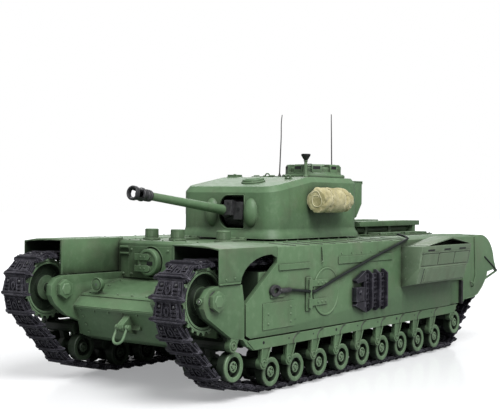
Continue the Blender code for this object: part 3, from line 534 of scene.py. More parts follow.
# The inside of each mudguard gets painted shade.
HOOD_GREENS = {side: painted(f"hood_paint_{label}", (0.128, 0.226, 0.114), (0.280, 0.400, 0.250), (0.102, 0.186, 0.092),
                             GRIME_AND_SHADE, painted_shade_mask=lambda tree, side=side: inside_hood(tree, side)) for label, side in SIDES}
TRACK_METAL = rubbed_metal("track_metal", (0.034, 0.032, 0.044), (0.270, 0.262, 0.310), 0.42, 0.35, 0.85)
TRACK_BOLT = rubbed_metal("track_bolt", (0.120, 0.120, 0.130), (0.420, 0.420, 0.440), 0.38, 0.5, 0.6)
GUNMETAL = rubbed_metal("gunmetal", (0.060, 0.060, 0.064), (0.210, 0.205, 0.215), 0.48, 0.25, 0.55)
# Black plastic, and black as painted shade in holes, slots and ports.
BLACK = rubbed_metal("black_plastic", (0.012, 0.012, 0.014), (0.060, 0.060, 0.066), 0.50, 0.0, 0.5)
ROPE = rubbed_metal("cable_rope", (0.022, 0.030, 0.028), (0.130, 0.150, 0.145), 0.50, 0.4, 0.5, 0.0003)
WIRE = rubbed_metal("aerial_wire", (0.085, 0.080, 0.076), (0.200, 0.190, 0.185), 0.40, 0.5, 0.3, 0.0002)
BRIGHT = rubbed_metal("bright_steel", (0.300, 0.340, 0.290), (0.620, 0.660, 0.600), 0.35, 0.5, 0.6)
GLASS = rubbed_metal("lamp_glass", (0.160, 0.200, 0.165), (0.700, 0.740, 0.700), 0.12, 0.2, 0.3)
ALUMINIUM = rubbed_metal("gearbox_metal", (0.330, 0.330, 0.340), (0.600, 0.600, 0.610), 0.42, 0.8, 0.5)
WRAP = rubbed_metal("battery_wrap", (0.020, 0.040, 0.110), (0.060, 0.110, 0.240), 0.30, 0.0, 0.4)
BOARD = rubbed_metal("circuit_board", (0.012, 0.110, 0.035), (0.180, 0.300, 0.160), 0.35, 0.0, 0.5)
CANVAS = canvas_cloth("canvas_cloth")


# ---------------------------------------------------------------- carried-over nodes
def smooth_by_angle():
    """A node group that shades faces smooth, except across edges sharper than 30 degrees."""
    group = bpy.data.node_groups.new("smooth_by_angle", "GeometryNodeTree")
    group.interface.new_socket("Geometry", in_out="INPUT", socket_type="NodeSocketGeometry")
    group.interface.new_socket("Geometry", in_out="OUTPUT", socket_type="NodeSocketGeometry")
    enter = group.nodes.new("NodeGroupInput")
    leave = group.nodes.new("NodeGroupOutput")
    faces = group.nodes.new("GeometryNodeSetShadeSmooth")
    edges = group.nodes.new("GeometryNodeSetShadeSmooth")
    edges.domain = "EDGE"
    edges.inputs["Shade Smooth"].default_value = False
    angle = group.nodes.new("GeometryNodeInputMeshEdgeAngle")
    sharp = group.nodes.new("FunctionNodeCompare")
    sharp.inputs[1].default_value = math.radians(30.0)
    group.links.new(angle.outputs[0], sharp.inputs[0])
    group.links.new(sharp.outputs[0], edges.inputs["Selection"])
    group.links.new(enter.outputs[0], faces.inputs["Geometry"])
    group.links.new(faces.outputs[0], edges.inputs["Geometry"])
    group.links.new(edges.outputs[0], leave.inputs[0])
    return group


SMOOTH = smooth_by_angle()


def dress(node, material, bevel=0.00035):
    """Gives a carried-over node its paint and rounded edges."""
    item = frame["nodes"][node]
    item.data.materials.clear()
    item.data.materials.append(material)
    item.modifiers.new("weld", "WELD").merge_threshold = 0.00001
    if bevel:
        step = item.modifiers.new("bevel", "BEVEL")
        step.width = bevel
        step.segments = 2
        step.limit_method = "ANGLE"
        step.angle_limit = math.radians(40.0)
    item.modifiers.new("smooth", "NODES").node_group = SMOOTH


def dress_carried_nodes():
    for node in ("lower_hull", "upper_hull", "engine_deck", "stowage_bin"):
        dress(node, GREEN)
    for label, side in SIDES:
        dress(f"{label}_side_armour", GREEN)
        dress(f"{label}_front_mudguard", HOOD_GREENS[side])
        dress(f"{label}_track_frame", FRAME_GREEN)
        # The air intake takes the lighter copy of the green, painted light.
        dress(f"{label}_air_intake", LIT_GREEN)
    for node in ("drive_gearbox", "traverse_motor", "turret_ring_gear"):
        dress(node, ALUMINIUM)
    dress("battery_pack", WRAP, 0.0012)
    dress("control_board", BOARD)


# ---------------------------------------------------------------- wheels
def revolved_row(count, solid):
    """Copies of a solid, spread evenly about the X axis."""
    return repeated(solid, [Matrix.Rotation(math.tau * index / count, 4, "X") for index in range(count)])


def road_wheel():
    """A double wheel about the X axis; each face has a raised rim, a dished middle and a bolted hub cap."""
    half = 0.5 * WHEEL_WIDTH
    tyre = 0.0074
    rim = 0.68 * WHEEL_RADIUS
    cap = 0.38 * WHEEL_RADIUS
    face = [
        (half - tyre, 0.0043),
        (half - tyre, WHEEL_RADIUS - 0.0006),
        (half - tyre + 0.0006, WHEEL_RADIUS),
        (half - 0.0005, WHEEL_RADIUS),
        (half - 0.0001, WHEEL_RADIUS - 0.0004),
        (half, rim + 0.0008),
        (half - 0.0004, rim),
        (half - 0.0046, rim - 0.0002),
        (half - 0.0050, rim - 0.0010),
        (half - 0.0044, rim - 0.0013),
        (half - 0.0044, rim - 0.0017),
        (half - 0.0052, cap + 0.0002),
        (half - 0.0009, cap),
        (half - 0.0005, cap - 0.0004),
        (half - 0.0005, 0.86 * cap - 0.0004),
        (half - 0.0012, 0.80 * cap - 0.0004),
        (half - 0.0012, 0.42 * cap),
        (half - 0.0003, 0.34 * cap),
        (half - 0.0002, 0.0),
    ]
    disc = turned("x", (0.0, 0.0), [*[(-x, radius) for x, radius in reversed(face)], *face], 48)
    bolts = revolved_row(5, rod("x", half - 0.0014, half - 0.0004, (0.60 * cap, 0.0), 0.00046, 6))
    return together([disc, bolts, mirrored(bolts.copy())])


def kidney(start, end, near, far, spread):
    """A curved slot about the X axis, as a solid."""
    outer = arc((0.0, 0.0), (far, far), -spread, spread, 8)
    inner = arc((0.0, 0.0), (near, near), spread, -spread, 8)
    return prism("x", start, end, [*outer, *inner])


def ring_half():
    """The outer half of an idler or sprocket: toothed rim, dished web with curved slots, and hub."""
    half = 0.5 * RING_WIDTH
    rim = RING_RADIUS - 0.0007
    profile = [
        (half - 0.0052, 0.0034),
        (half - 0.0052, rim - 0.0020),
        (half - 0.0046, rim),
        (half - 0.0003, rim),
        (half, rim - 0.0003),
        (half, rim - 0.0012),
        (half - 0.0008, rim - 0.0014),
        (half - 0.0008, rim - 0.0018),
        (half, rim - 0.0020),
        (half, rim - 0.0031),
        (half - 0.0005, rim - 0.0034),
        (half - 0.0040, rim - 0.0040),
        (half - 0.0042, 0.0094),
        (half - 0.0014, 0.0086),
        (half - 0.0010, 0.0060),
        (half - 0.0010, 0.0034),
    ]
    disc = turned("x", (0.0, 0.0), profile, 72, looped=True)
    slots = revolved_row(6, kidney(half - 0.0060, half, 0.0104, 0.0146, 19.0))
    disc = cut(disc, slots)
    reach = RING_RADIUS + 0.0011
    shape = [(rim - 0.0010, -0.0015), (rim, -0.0014), (reach, -0.0006), (reach, 0.0006), (rim, 0.0014),
             (rim - 0.0010, 0.0015)]
    teeth = revolved_row(24, prism("x", half - 0.0020, half - 0.0003, shape))
    return together([disc, teeth])


def ring_wheel():
    half = 0.5 * RING_WIDTH
    hub = turned("x", (0.0, 0.0), [(-half + 0.0045, 0.0034), (-half + 0.0045, 0.0152), (half - 0.0045, 0.0152),
                                   (half - 0.0045, 0.0034)], 40, looped=True)
    return together([ring_half(), mirrored(ring_half()), hub])


def make_wheels():
    """Every wheel of one kind on one side shares its mesh."""
    kinds = (
        (road_wheel, WHEEL_GREEN, [node[5:] for node in WHEELS]),
        (ring_wheel, RING_GREEN, ["idler_wheel", "drive_sprocket"]),
    )
    for kind, material, nodes in kinds:
        for label, side in SIDES:
            first = None
            for name in nodes:
                node = f"{label}_{name}"
                if first is None:
                    first = piece(f"{node}_disc", sided(kind(), side), material, node,
                                  replaces=(node,), place=middle(node))
                    continue
                copy = bpy.data.objects.new(f"{node}_disc", first.data)
                bpy.context.scene.collection.objects.link(copy)
                copy.location = middle(node)
                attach(copy, node)
                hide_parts(node)


# ---------------------------------------------------------------- tracks
LINK_PITCH = 0.0132
SLACK_RADIUS = 0.0133        # the belt hangs clear of the last wheel
IDLER_SLACK = {"left": 0.0063, "right": 0.0025}
FIRST_LINK = {"left": 0.144, "right": 0.5}     # where the first link lies, in link pitches
HINGE_HEIGHT = 0.0013
PLATE_TOP = 0.0024
BODY_X = -0.0011             # the middle of a link plate, from the middle of its bar


def belt_circles(label):
    """(centre, radius) of each circle that the belt wraps, front ring first."""
    def centre(part):
        place = middle(f"{label}_{part}")
        return Vector((place.y, place.z))

    wheels = [(centre(node[5:]), WHEEL_RADIUS + GAP) for node in WHEELS[:-1]]
    slack = (Vector((centre(WHEELS[-1][5:]).x, BELT_THICKNESS + SLACK_RADIUS)), SLACK_RADIUS)
    idler, sprocket = centre("idler_wheel"), centre("drive_sprocket")
    ring = RING_RADIUS - GAP
    hang = idler - Vector((0.0, IDLER_SLACK[label]))
    return [(idler, ring), (hang, ring), *wheels, slack, (sprocket, ring)]


def outward_angle(first, second):
    """The angle of the outer tangent's normal, going from one circle to the next."""
    (centre, radius), (following, smaller) = first, second
    gap = Vector(following) - Vector(centre)
    lean = (radius - smaller) / gap.length
    share = math.sqrt(1.0 - lean * lean)
    along = gap.normalized()
    return math.atan2(along.y * lean - along.x * share, along.x * lean + along.y * share)


def belt_line(label):
    """Points round the belt at the height of its hinges, each with the angle facing outwards."""
    circles = belt_circles(label)
    line = []
    for index, (centre, radius) in enumerate(circles):
        arriving = outward_angle(circles[index - 1], circles[index])
        leaving = outward_angle(circles[index], circles[(index + 1) % len(circles)])
        sweep = (leaving - arriving) % math.tau
        if sweep > 1.9 * math.pi:
            sweep = 0.0
        steps = max(1, math.ceil(math.degrees(sweep) / 3.0))
        for step in range(steps + 1):
            angle = arriving + sweep * step / steps
            out = Vector((math.cos(angle), math.sin(angle)))
            line.append((Vector(centre) + (radius + HINGE_HEIGHT) * out, angle))
    return line


def link_places(label):
    """One matrix for each link: X across the tank, Y along the belt and Z out of it."""
    line = belt_line(label)
    line.append(line[0])
    lengths = [(after[0] - before[0]).length for before, after in zip(line, line[1:])]
    total = sum(lengths)
    count = round(total / LINK_PITCH)
    places = []
    passed = 0.0
    segment = 0
    for index in range(count):
        target = (index + FIRST_LINK[label]) * total / count
        while passed + lengths[segment] < target:
            passed += lengths[segment]
            segment += 1
        share = (target - passed) / lengths[segment]
        start, end = line[segment], line[segment + 1]
        turn = (end[1] - start[1] + math.pi) % math.tau - math.pi
        angle = start[1] + share * turn
        point = start[0].lerp(end[0], share) - HINGE_HEIGHT * Vector((math.cos(angle), math.sin(angle)))
        places.append(Matrix((
            (-1.0, 0.0, 0.0, TRACK_MIDDLE_X),
            (0.0, -math.sin(angle), math.cos(angle), point.x),
            (0.0, math.cos(angle), math.sin(angle), point.y),
            (0.0, 0.0, 0.0, 1.0),
        )))
    return places, total / count


def grouser():
    """The bar across a link: long pointed ends that droop, and two ridges with a groove between them."""
    half = TRACK_HALF_WIDTH
    top = BELT_THICKNESS - 0.0001
    sections = [
        (-half, 0.0044, 0.0057, 0.0010, 0.0019),
        (-half + 0.0016, 0.0038, 0.0059, 0.0009, 0.0033),
        (-half + 0.0046, 0.0028, 0.0063, 0.0012, top - 0.0008),
        (-half + 0.0066, 0.0028, 0.0063, 0.0012, top - 0.0004),
        (half - 0.0066, 0.0028, 0.0063, 0.0012, top - 0.0004),
        (half - 0.0046, 0.0028, 0.0063, 0.0012, top - 0.0008),
        (half - 0.0016, 0.0038, 0.0059, 0.0009, 0.0033),
        (half, 0.0044, 0.0057, 0.0010, 0.0019),
    ]
    rings = []
    for x, rear, front, bottom, crest in sections:
        lean = 0.0003
        rings.append([(x, rear, bottom), (x, front, bottom), (x, front - lean, crest), (x, rear + lean, crest)])
    parts = [loft(rings)]
    length = half - 0.0050
    for start, end in ((0.0031, 0.0039), (0.0053, 0.0060)):
        parts.append(block((-length, start, top - 0.0006), (length, end, top)))
    return together(parts)


def ladder(x, lean):
    """Slanting raised ribs with two rungs, on one half of a link."""
    parts = []
    for edge in (x - 0.0024, x + 0.0024):
        ends = [(edge + lean, -0.0058), (edge + lean + 0.0008, -0.0058), (edge + 0.0008, 0.0036), (edge, 0.0036)]
        parts.append(prism("z", PLATE_TOP - 0.0004, PLATE_TOP + 0.0013, ends))
    for rung in (-0.0012, 0.0014):
        parts.append(block((x - 0.0022, rung - 0.0005, PLATE_TOP - 0.0004), (x + 0.0030, rung + 0.0005, PLATE_TOP + 0.0010)))
    return together(parts)


def oval_boss():
    outer = arc((BODY_X, -0.0006), (0.0020, 0.0031), 0.0, 360.0, 14)[:-1]
    inner = arc((BODY_X, -0.0006), (0.0011, 0.0020), 0.0, 360.0, 14)[:-1]
    levels = (PLATE_TOP - 0.0003, PLATE_TOP + 0.0012)
    rings = [[(*point, level) for point in outline]
             for outline, level in ((outer, levels[0]), (outer, levels[1]), (inner, levels[1]), (inner, levels[0]))]
    return loft(rings, looped=True)


def track_link(pitch):
    """One link, lying flat: Y along the belt, Z out of it, with its inner face at Z = 0."""
    rear = -0.5 * pitch + 0.0003
    front = 0.5 * pitch - 0.0003
    wide, narrow = 0.0124, 0.0098
    plate = [(BODY_X - narrow, rear), (BODY_X + narrow, rear), (BODY_X + wide - 0.0004, 0.0026), (BODY_X + wide, front),
             (BODY_X - wide, front), (BODY_X - wide + 0.0004, 0.0026)]
    parts = [prism("z", HINGE_HEIGHT, PLATE_TOP, plate), grouser(), ladder(BODY_X - 0.0070, 0.0010),
             ladder(BODY_X + 0.0062, -0.0010), oval_boss()]
    pads = ((-0.0092, 0.0057), (0.0090, 0.0112), (-0.0134, -0.0126))
    for left, right in pads:
        parts.append(block((left, -0.0030, 0.0), (right, front, HINGE_HEIGHT)))
    parts.append(block((BODY_X - 0.0040, -0.0016, -0.0022), (BODY_X - 0.0008, 0.0030, 0.0002)))
    parts.append(rod("x", BODY_X - 0.0108, BODY_X + 0.0108, (0.5 * pitch, HINGE_HEIGHT), 0.0010, 10))
    return together(parts)


def link_bolts():
    """The two bolts on the outer face of a link."""
    bolts = [hex_bolt("z", PLATE_TOP - 0.0002, 0.0016, (BODY_X + x, -0.0038), 0.0010) for x in (-0.0058, 0.0058)]
    return together(bolts)


def make_tracks():
    for label, side in SIDES:
        places, pitch = link_places(label)
        links = sided(repeated(track_link(pitch), places), side)
        piece(f"{label}_track_links", links, TRACK_METAL, "hull", replaces=(f"{label}_track",))
        bolts = sided(repeated(link_bolts(), places), side)
        piece(f"{label}_track_bolts", bolts, TRACK_BOLT, "hull")


# ---------------------------------------------------------------- track frames
def suspension_pivots(label):
    """Where each wheel's arm turns, as (y, z), front first."""
    pivots = []
    for number, node in enumerate(WHEELS):
        centre = middle(f"{label}_{node[5:]}")
        dy, dz = (-0.0041, 0.0141) if number == 0 else (-0.0121, 0.0072)
        pivots.append((centre.y + dy, centre.z + dz))
    return pivots


def pivot_boss(centre):
    """A ring with a sunk bolt, on the end of a suspension bracket."""
    profile = [
        (RAIL_X - 0.0045, 0.0),
        (RAIL_X - 0.0045, 0.0041),
        (RAIL_X - 0.0002, 0.0041),
        (RAIL_X, 0.0038),
        (RAIL_X, 0.0032),
        (RAIL_X - 0.0006, 0.0030),
        (RAIL_X - 0.0006, 0.0026),
        (RAIL_X + 0.0003, 0.0024),
        (RAIL_X + 0.0003, 0.0013),
        (RAIL_X - 0.0014, 0.0011),
        (RAIL_X - 0.0014, 0.0),
    ]
    return turned("x", centre, profile, 32)


def bracket_ribs(centre):
    """The two flanges of a suspension bracket, from the rail down to its boss."""
    parts = []
    for top, bottom in ((-0.0024, -0.0036), (0.0072, 0.0026)):
        y, z = centre
        outline = [(y + bottom - 0.0005, z + 0.0010), (y + bottom + 0.0007, z + 0.0010),
                   (y + top + 0.0007, 0.0338), (y + top - 0.0005, 0.0338)]
        parts.append(prism("x", RAIL_X - 0.0012, RAIL_X + 0.0005, outline))
    return parts


def rail_plate(start, end, front=False):
    """One overlapping length of the rail's skirt, with a curved leading edge."""
    bottom = 0.0332
    top = ARMOUR_BOTTOM_Z - 0.0002
    bend = 0.0108
    lead = arc((start + bend, bottom + 0.0012), (bend, top - bottom - 0.0012), 180.0, 110.0, 8)
    trail = arc((end + bend, bottom + 0.0012), (bend, top - bottom - 0.0012), 110.0, 180.0, 8)
    if front:
        lead = [(start + 0.0005, bottom), (start - 0.0075, top - 0.0008), (start - 0.0060, top)]
    lower = [] if front else [(start, bottom)]
    return prism("x", RAIL_X - 0.0006, RAIL_X + 0.0005, [*lower, *lead, *trail, (end, bottom)])


def rail_seams():
    """Where each length of the rail's skirt starts."""
    return [middle(node).y - 0.0078 for node in WHEELS[2:10]]


def rail_joint_shadow(start):
    """A painted shadow along the gap between two lengths of skirt."""
    bottom = 0.0332
    reach = ARMOUR_BOTTOM_Z - 0.0002 - bottom - 0.0012
    bend = arc((start + 0.0104, bottom + 0.0012), (0.0108, reach), 180.0, 108.0, 8)
    return cable([(RAIL_X + 0.0001, y, z) for y, z in [(start - 0.0004, bottom), *bend]], 0.00085, 6)


def rail_plates():
    seams = rail_seams()
    starts = [-0.1650, *seams]
    ends = [*seams, 0.1400]
    plates = []
    for number, (start, end) in enumerate(zip(starts, ends)):
        plates.append(rail_plate(start, end - 0.0008, front=number == 0))
    return plates


def make_frame_details(label, side):
    pivots = suspension_pivots(label)
    parts = [pivot_boss(centre) for centre in pivots]
    for centre in pivots[1:]:
        parts.extend(bracket_ribs(centre))
    piece(f"{label}_suspension_brackets", sided(together(parts), side), GREEN, "hull", 0.00018)
    plates = sided(together(rail_plates()), side)
    piece(f"{label}_rail_plates", plates, GREEN, "hull", 0.00025)
    # Dark strips as the painted shadow in each joint.
    joints = sided(together([rail_joint_shadow(start) for start in rail_seams()]), side)
    piece(f"{label}_rail_joint_shadows", joints, SHADE_GREEN, "hull")
    holes = []
    for number, node in enumerate(WHEELS[1:10]):
        y = middle(node).y - 0.0135
        size = 0.0011 if number % 3 == 0 else 0.0006
        holes.append(rod("x", RAIL_X - 0.0004, RAIL_X + 0.00058, (y, 0.0372), size, 16))
    # The holes are black rods: painted shade inside them.
    piece(f"{label}_rail_holes", sided(together(holes), side), BLACK, "hull")


def make_idler_nuts(label, side):
    """The big nuts on the idler's horn, its washers and the adjuster bolt on the horn's nose."""
    centre = (middle("left_idler_wheel").y, middle("left_idler_wheel").z)
    washer = turned("x", centre, [(RAIL_X - 0.0002, 0.0), (RAIL_X - 0.0002, 0.0066), (RAIL_X + 0.0004, 0.0064),
                                  (RAIL_X + 0.0004, 0.0)], 40)
    outer = hex_bolt("x", RAIL_X, 0.0038, centre, 0.0055)
    inner_x = 0.0468
    inner = placed(hex_bolt("x", -inner_x, 0.0050, centre, 0.0056), Matrix.Diagonal((-1.0, 1.0, 1.0, 1.0)))
    nose_x = 0.5 * (high("left_idler_wheel").x + RAIL_X) + 0.0010
    nose = (nose_x, centre[1] + 0.0004)
    adjuster = turned("y", nose, [(-0.2172, 0.0), (-0.2172, 0.0021), (-0.2190, 0.0021), (-0.2192, 0.0018),
                                  (-0.2188, 0.0014), (-0.2188, 0.0)], 24)
    piece(f"{label}_idler_washer", sided(washer, side), GUNMETAL, "hull", 0.0001)
    nuts = sided(together([outer, adjuster]), side)
    piece(f"{label}_idler_nuts", nuts, LIGHT_GREEN, "hull", 0.0003)
    screw = hex_bolt("y", 0.0, 0.0008, (0.0, 0.0), 0.0011)
    screw = placed(screw, Matrix.Translation((nose[0], -0.2188, nose[1])) @ Matrix.Rotation(math.pi, 4, "Z"))
    piece(f"{label}_adjuster_screw", sided(screw, side), BRIGHT, "hull", 0.00015)
    piece(f"{label}_inner_idler_nut", sided(inner, side), LIGHT_GREEN, "hull", 0.0003)


# ---------------------------------------------------------------- side armour
DOOR = (-0.0776, 0.0666)
DOOR_RADIUS = 0.0176


def on_side(start, end, outline):
    """A plate on the left side armour, from one height above its face to another."""
    return prism("x", ARMOUR_X + start, ARMOUR_X + end, outline)


def rectangle(y1, z1, y2, z2):
    return [(y1, z1), (y2, z1), (y2, z2), (y1, z2)]


def side_bolts(points, radius=0.0011, height=0.0009):
    return [hex_bolt("x", ARMOUR_X - 0.0002, height, point, radius) for point in points]


def hinge_strap(z):
    """A strap across the door's front edge, with a rounded tail and three bolts."""
    half = 0.0023
    tail = arc((-0.0786, z), (half, half), -90.0, 90.0, 8)
    strap = on_side(0.0, 0.0014, [(-0.0985, z - half), *tail, (-0.0985, z + half)])
    bolts = [hex_bolt("x", ARMOUR_X + 0.0012, 0.0007, (y, z), 0.0011) for y in (-0.0897, -0.0847, -0.0797)]
    return together([strap, *bolts])


def side_door():
    rim = [(ARMOUR_X - 0.0003, 0.0), (ARMOUR_X - 0.0003, DOOR_RADIUS), (ARMOUR_X + 0.0006, DOOR_RADIUS),
           (ARMOUR_X + 0.0009, DOOR_RADIUS - 0.0004), (ARMOUR_X + 0.0009, DOOR_RADIUS - 0.0012),
           (ARMOUR_X + 0.0005, DOOR_RADIUS - 0.0016), (ARMOUR_X + 0.0005, 0.0)]
    return turned("x", DOOR, rim, 64)


def hinge_block():
    """The door's hinge: a tall block with two knuckles and a pin."""
    plate = on_side(0.0, 0.0012, rectangle(-0.1050, 0.0545, -0.0987, 0.0782))
    knuckles = [on_side(0.0, 0.0026, rectangle(-0.1030, z, -0.0990, z + 0.0072)) for z in (0.0562, 0.0692)]
    pin = rod("z", 0.0552, 0.0776, (ARMOUR_X + 0.0016, -0.1004), 0.0011, 16)
    return together([plate, *knuckles, pin])


def access_panel():
    """A flush panel ahead of the door, with a wider hinge leaf on its rear edge."""
    outline = [(-0.1565, 0.0455), (-0.1192, 0.0455), (-0.1192, 0.0501), (-0.1172, 0.0501), (-0.1172, 0.0590),
               (-0.1192, 0.0590), (-0.1192, 0.0633), (-0.1565, 0.0633)]
    bolts = side_bolts([(-0.1503, 0.0558), (-0.1503, 0.0492), (-0.1235, 0.0590), (-0.1235, 0.0540), (-0.1235, 0.0489)],
                       0.0010, 0.0013)
    return together([on_side(0.0, 0.0006, outline), *bolts])


def lifting_hook():
    z = 0.0990
    bar = cable([(ARMOUR_X + 0.0006, -0.0840, z), (ARMOUR_X + 0.0009, -0.0838, z - 0.0040),
                 (ARMOUR_X + 0.0010, -0.0836, z - 0.0085), (ARMOUR_X + 0.0018, -0.0838, z - 0.0102),
                 (ARMOUR_X + 0.0012, -0.0850, z - 0.0110)], 0.0005, 8)
    return bar


def deck_ribs():
    """Raised ribs slanting across the sloped outer edge of the side deck."""
    sheet_low, sheet_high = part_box("left_front_mudguard")
    inner = (0.0785, sheet_high.z - 0.0007)
    outer = (ARMOUR_X - 0.0010, inner[1] - 0.0018)
    ribs = []
    for index in range(11):
        y = -0.1500 + index * 0.0175
        if y < -0.1400:
            continue
        start = Vector((inner[0], y, inner[1]))
        end = Vector((outer[0], y + 0.0165, outer[1]))
        ribs.append(cable([start, start.lerp(end, 0.5), end], 0.0007, 6))
    return together(ribs)


def make_side_details(label, side):
    parts = [side_door(), hinge_block(), hinge_strap(0.0734), hinge_strap(0.0598), access_panel(), lifting_hook()]
    parts.append(on_side(0.0, 0.0009, rectangle(-0.1383, 0.0846, -0.1000, 0.0886)))
    parts.append(on_side(0.0, 0.0007, rectangle(-0.0610, 0.0856, 0.0216, 0.0910)))
    parts.extend(side_bolts([(-0.0560 + 0.0145 * index, 0.0932) for index in range(6)], 0.0007, 0.0007))
    piece(f"{label}_side_fittings", sided(together(parts), side), GREEN, "hull", 0.00018)
    # The ribs are dark green as painted shade.
    piece(f"{label}_deck_ribs", sided(deck_ribs(), side), SHADE_GREEN, "hull")


def make_rear_guard(label, side):
    """The rounded tail's cover strip, grab handle, wire stirrup and mud scraper."""
    seam = [(0.1778, 0.0570), (0.1800, 0.0565), (0.1840, 0.0640), (0.1822, 0.0820), (0.1808, 0.1000), (0.1790, 0.1000),
            (0.1803, 0.0820), (0.1818, 0.0645)]
    strip = on_side(0.0, 0.0008, seam)
    handle = cable(along_curve([(ARMOUR_X, 0.1716, 0.0590), (ARMOUR_X + 0.0022, 0.1724, 0.0580),
                                (ARMOUR_X + 0.0022, 0.1742, 0.0552), (ARMOUR_X, 0.1750, 0.0540)], 5), 0.0006, 8)
    eaves = on_side(0.0, 0.0006, rectangle(0.1556, 0.0440, 0.1575, 0.0640))
    hem = [(ARMOUR_X - 0.0002, y, z) for y, z in ((0.1620, 0.0439), (0.1797, 0.0446), (0.1890, 0.0470), (0.1983, 0.0527),
                                                 (0.2077, 0.0610), (0.2098, 0.0664))]
    parts = [strip, handle, eaves, cable(hem, 0.0005, 8)]
    piece(f"{label}_rear_guard_strip", sided(together(parts), side), GREEN, "hull", 0.00018)
    x = ARMOUR_X + 0.0002
    tip_y = high("left_side_armour").y - 0.0010
    stirrup = cable([(x, 0.2030, 0.0808), (x, 0.2120, 0.0763), (x, tip_y, 0.0664)], 0.0007, 10)
    piece(f"{label}_rear_stirrup", sided(stirrup, side), ROPE, "hull")
    scraper = block((ARMOUR_X - 0.0022, 0.1512, 0.0400), (ARMOUR_X + 0.0012, 0.1545, 0.0610))
    piece(f"{label}_mud_scraper", sided(scraper, side), BLACK, "hull", 0.0004)


def make_tow_cable():
    """A wire rope with a cast eye, from the left front corner up over the deck edge."""
    x = ARMOUR_X + 0.0016
    eye_hole = arc((-0.1430, 0.0712), (0.0031, 0.0019), 0.0, 360.0, 24)[:-1]
    eye_rim = arc((-0.1434, 0.0712), (0.0060, 0.0040), 0.0, 360.0, 24)[:-1]
    levels = ((eye_rim, 0.0), (eye_rim, 0.0022), (eye_hole, 0.0022), (eye_hole, 0.0))
    rings = [[(ARMOUR_X + height, *point) for point in outline] for outline, height in levels]
    eye = loft(rings, looped=True)
    sleeve = turned("y", (x, 0.0708), [(-0.1385, 0.0012), (-0.1375, 0.0017), (-0.1268, 0.0017), (-0.1258, 0.0012)], 20)
    bracket = on_side(0.0, 0.0010, rectangle(-0.1480, 0.0664, -0.1320, 0.0690))
    piece("tow_cable_eye", together([eye, sleeve]), GUNMETAL, "hull", 0.0003)
    piece("tow_cable_bracket", bracket, GREEN, "hull", 0.0002)
    line = along_curve([(x, -0.1262, 0.0708), (x, -0.1090, 0.0690), (x, -0.0962, 0.0677), (x, -0.0900, 0.0688),
                        (x, -0.0560, 0.0776), (x, -0.0100, 0.0888), (x, 0.0400, 0.1002),
                        (ARMOUR_X + 0.0004, 0.0460, 0.1022), (ARMOUR_X - 0.0050, 0.0500, 0.1036),
                        (ARMOUR_X - 0.0120, 0.0530, 0.1046)], 14)
    length = sum((after - before).length for before, after in zip(line, line[1:]))
    turns = length / 0.0085

    def strands(index):
        """The rope's cross-section: six strands, turned a little further at each step."""
        turn = math.tau * turns * index / (len(line) - 1)
        ring = []
        for step in range(24):
            angle = math.tau * step / 24
            bulge = 0.86 + 0.14 * abs(math.cos(3.0 * (angle - turn)))
            ring.append((bulge * math.cos(angle), bulge * math.sin(angle)))
        return ring

    rope = cable(line, 0.0010, shape=strands)
    piece("tow_cable_rope", rope, ROPE, "hull", replaces=("tow_cable",))


def spare_link(y):
    """One link standing on end, its bar ends pointing up and down."""
    x = ARMOUR_X + GAP
    plate = prism("x", x, x + 0.0024, [(y, 0.0500), (y + 0.0070, 0.0500), (y + 0.0070, 0.0762), (y, 0.0762)])
    bar = []
    for z, reach, half in ((0.0470, 0.0020, 0.0004), (0.0500, 0.0058, 0.0011), (0.0762, 0.0058, 0.0011),
                           (0.0792, 0.0020, 0.0004)):
        centre = y + 0.0074
        bar.append([(x, centre - half, z), (x, centre + half, z), (x + reach, centre + 0.7 * half, z),
                    (x + reach, centre - 0.7 * half, z)])
    rungs = [block((x + 0.0020, y + 0.0008, z), (x + 0.0034, y + 0.0062, z + 0.0010))
             for z in (0.0530, 0.0560, 0.0606, 0.0646, 0.0692, 0.0722)]
    edge = block((x + 0.0020, y + 0.0006, 0.0510), (x + 0.0036, y + 0.0014, 0.0752))
    return together([plate, loft(bar), edge, *rungs])


def make_spare_links():
    links = [spare_link(-0.0268 + index * 0.0118) for index in range(3)]
    x = ARMOUR_X + GAP
    top = prism("x", x, x + 0.0034, [(-0.0405, 0.0724), (-0.0255, 0.0790), (-0.0248, 0.0712), (-0.0380, 0.0700)])
    bottom = prism("x", x, x + 0.0034, [(-0.0405, 0.0530), (-0.0380, 0.0560), (-0.0248, 0.0548), (-0.0240, 0.0468)])
    clamp = block((x, -0.0405, 0.0560), (x + 0.0040, -0.0285, 0.0668))
    bolt = hex_bolt("x", x + 0.0036, 0.0018, (-0.0345, 0.0628), 0.0022)
    bar = block((x, -0.0400, 0.0590), (x + 0.0014, 0.0075, 0.0660))
    parts = [*links, top, bottom, clamp, bolt, bar]
    piece("spare_links", together(parts), TRACK_METAL, "hull", 0.00018, ("spare_track_links",))


# ---------------------------------------------------------------- mudguards and air intakes
def make_mudguard_details(label, side):
    """Hemmed edges, a side rib and small bolts."""
    guard_low, guard_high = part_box("left_front_mudguard")
    inner = guard_low.x
    top = guard_high.z
    bolts = side_bolts([(-0.1962, 0.0815), (-0.1872, 0.0820)], 0.0009, 0.0007)
    hem = block((ARMOUR_X - 0.0006, guard_low.y + 0.0001, guard_low.z), (ARMOUR_X + 0.0005, -0.1815, guard_low.z + 0.0011))
    lip = block((inner - 0.0003, guard_low.y, guard_low.z), (inner + 0.0014, guard_low.y + 0.0009, top - 0.0002))
    rivets = [hex_bolt("z", top - 0.0002, 0.0005, (0.0545, -0.1960 + 0.0085 * index), 0.0006) for index in range(6)]
    parts = [*bolts, hem, lip, *rivets]
    piece(f"{label}_mudguard_fittings", sided(together(parts), side), GREEN, "hull", 0.00015)


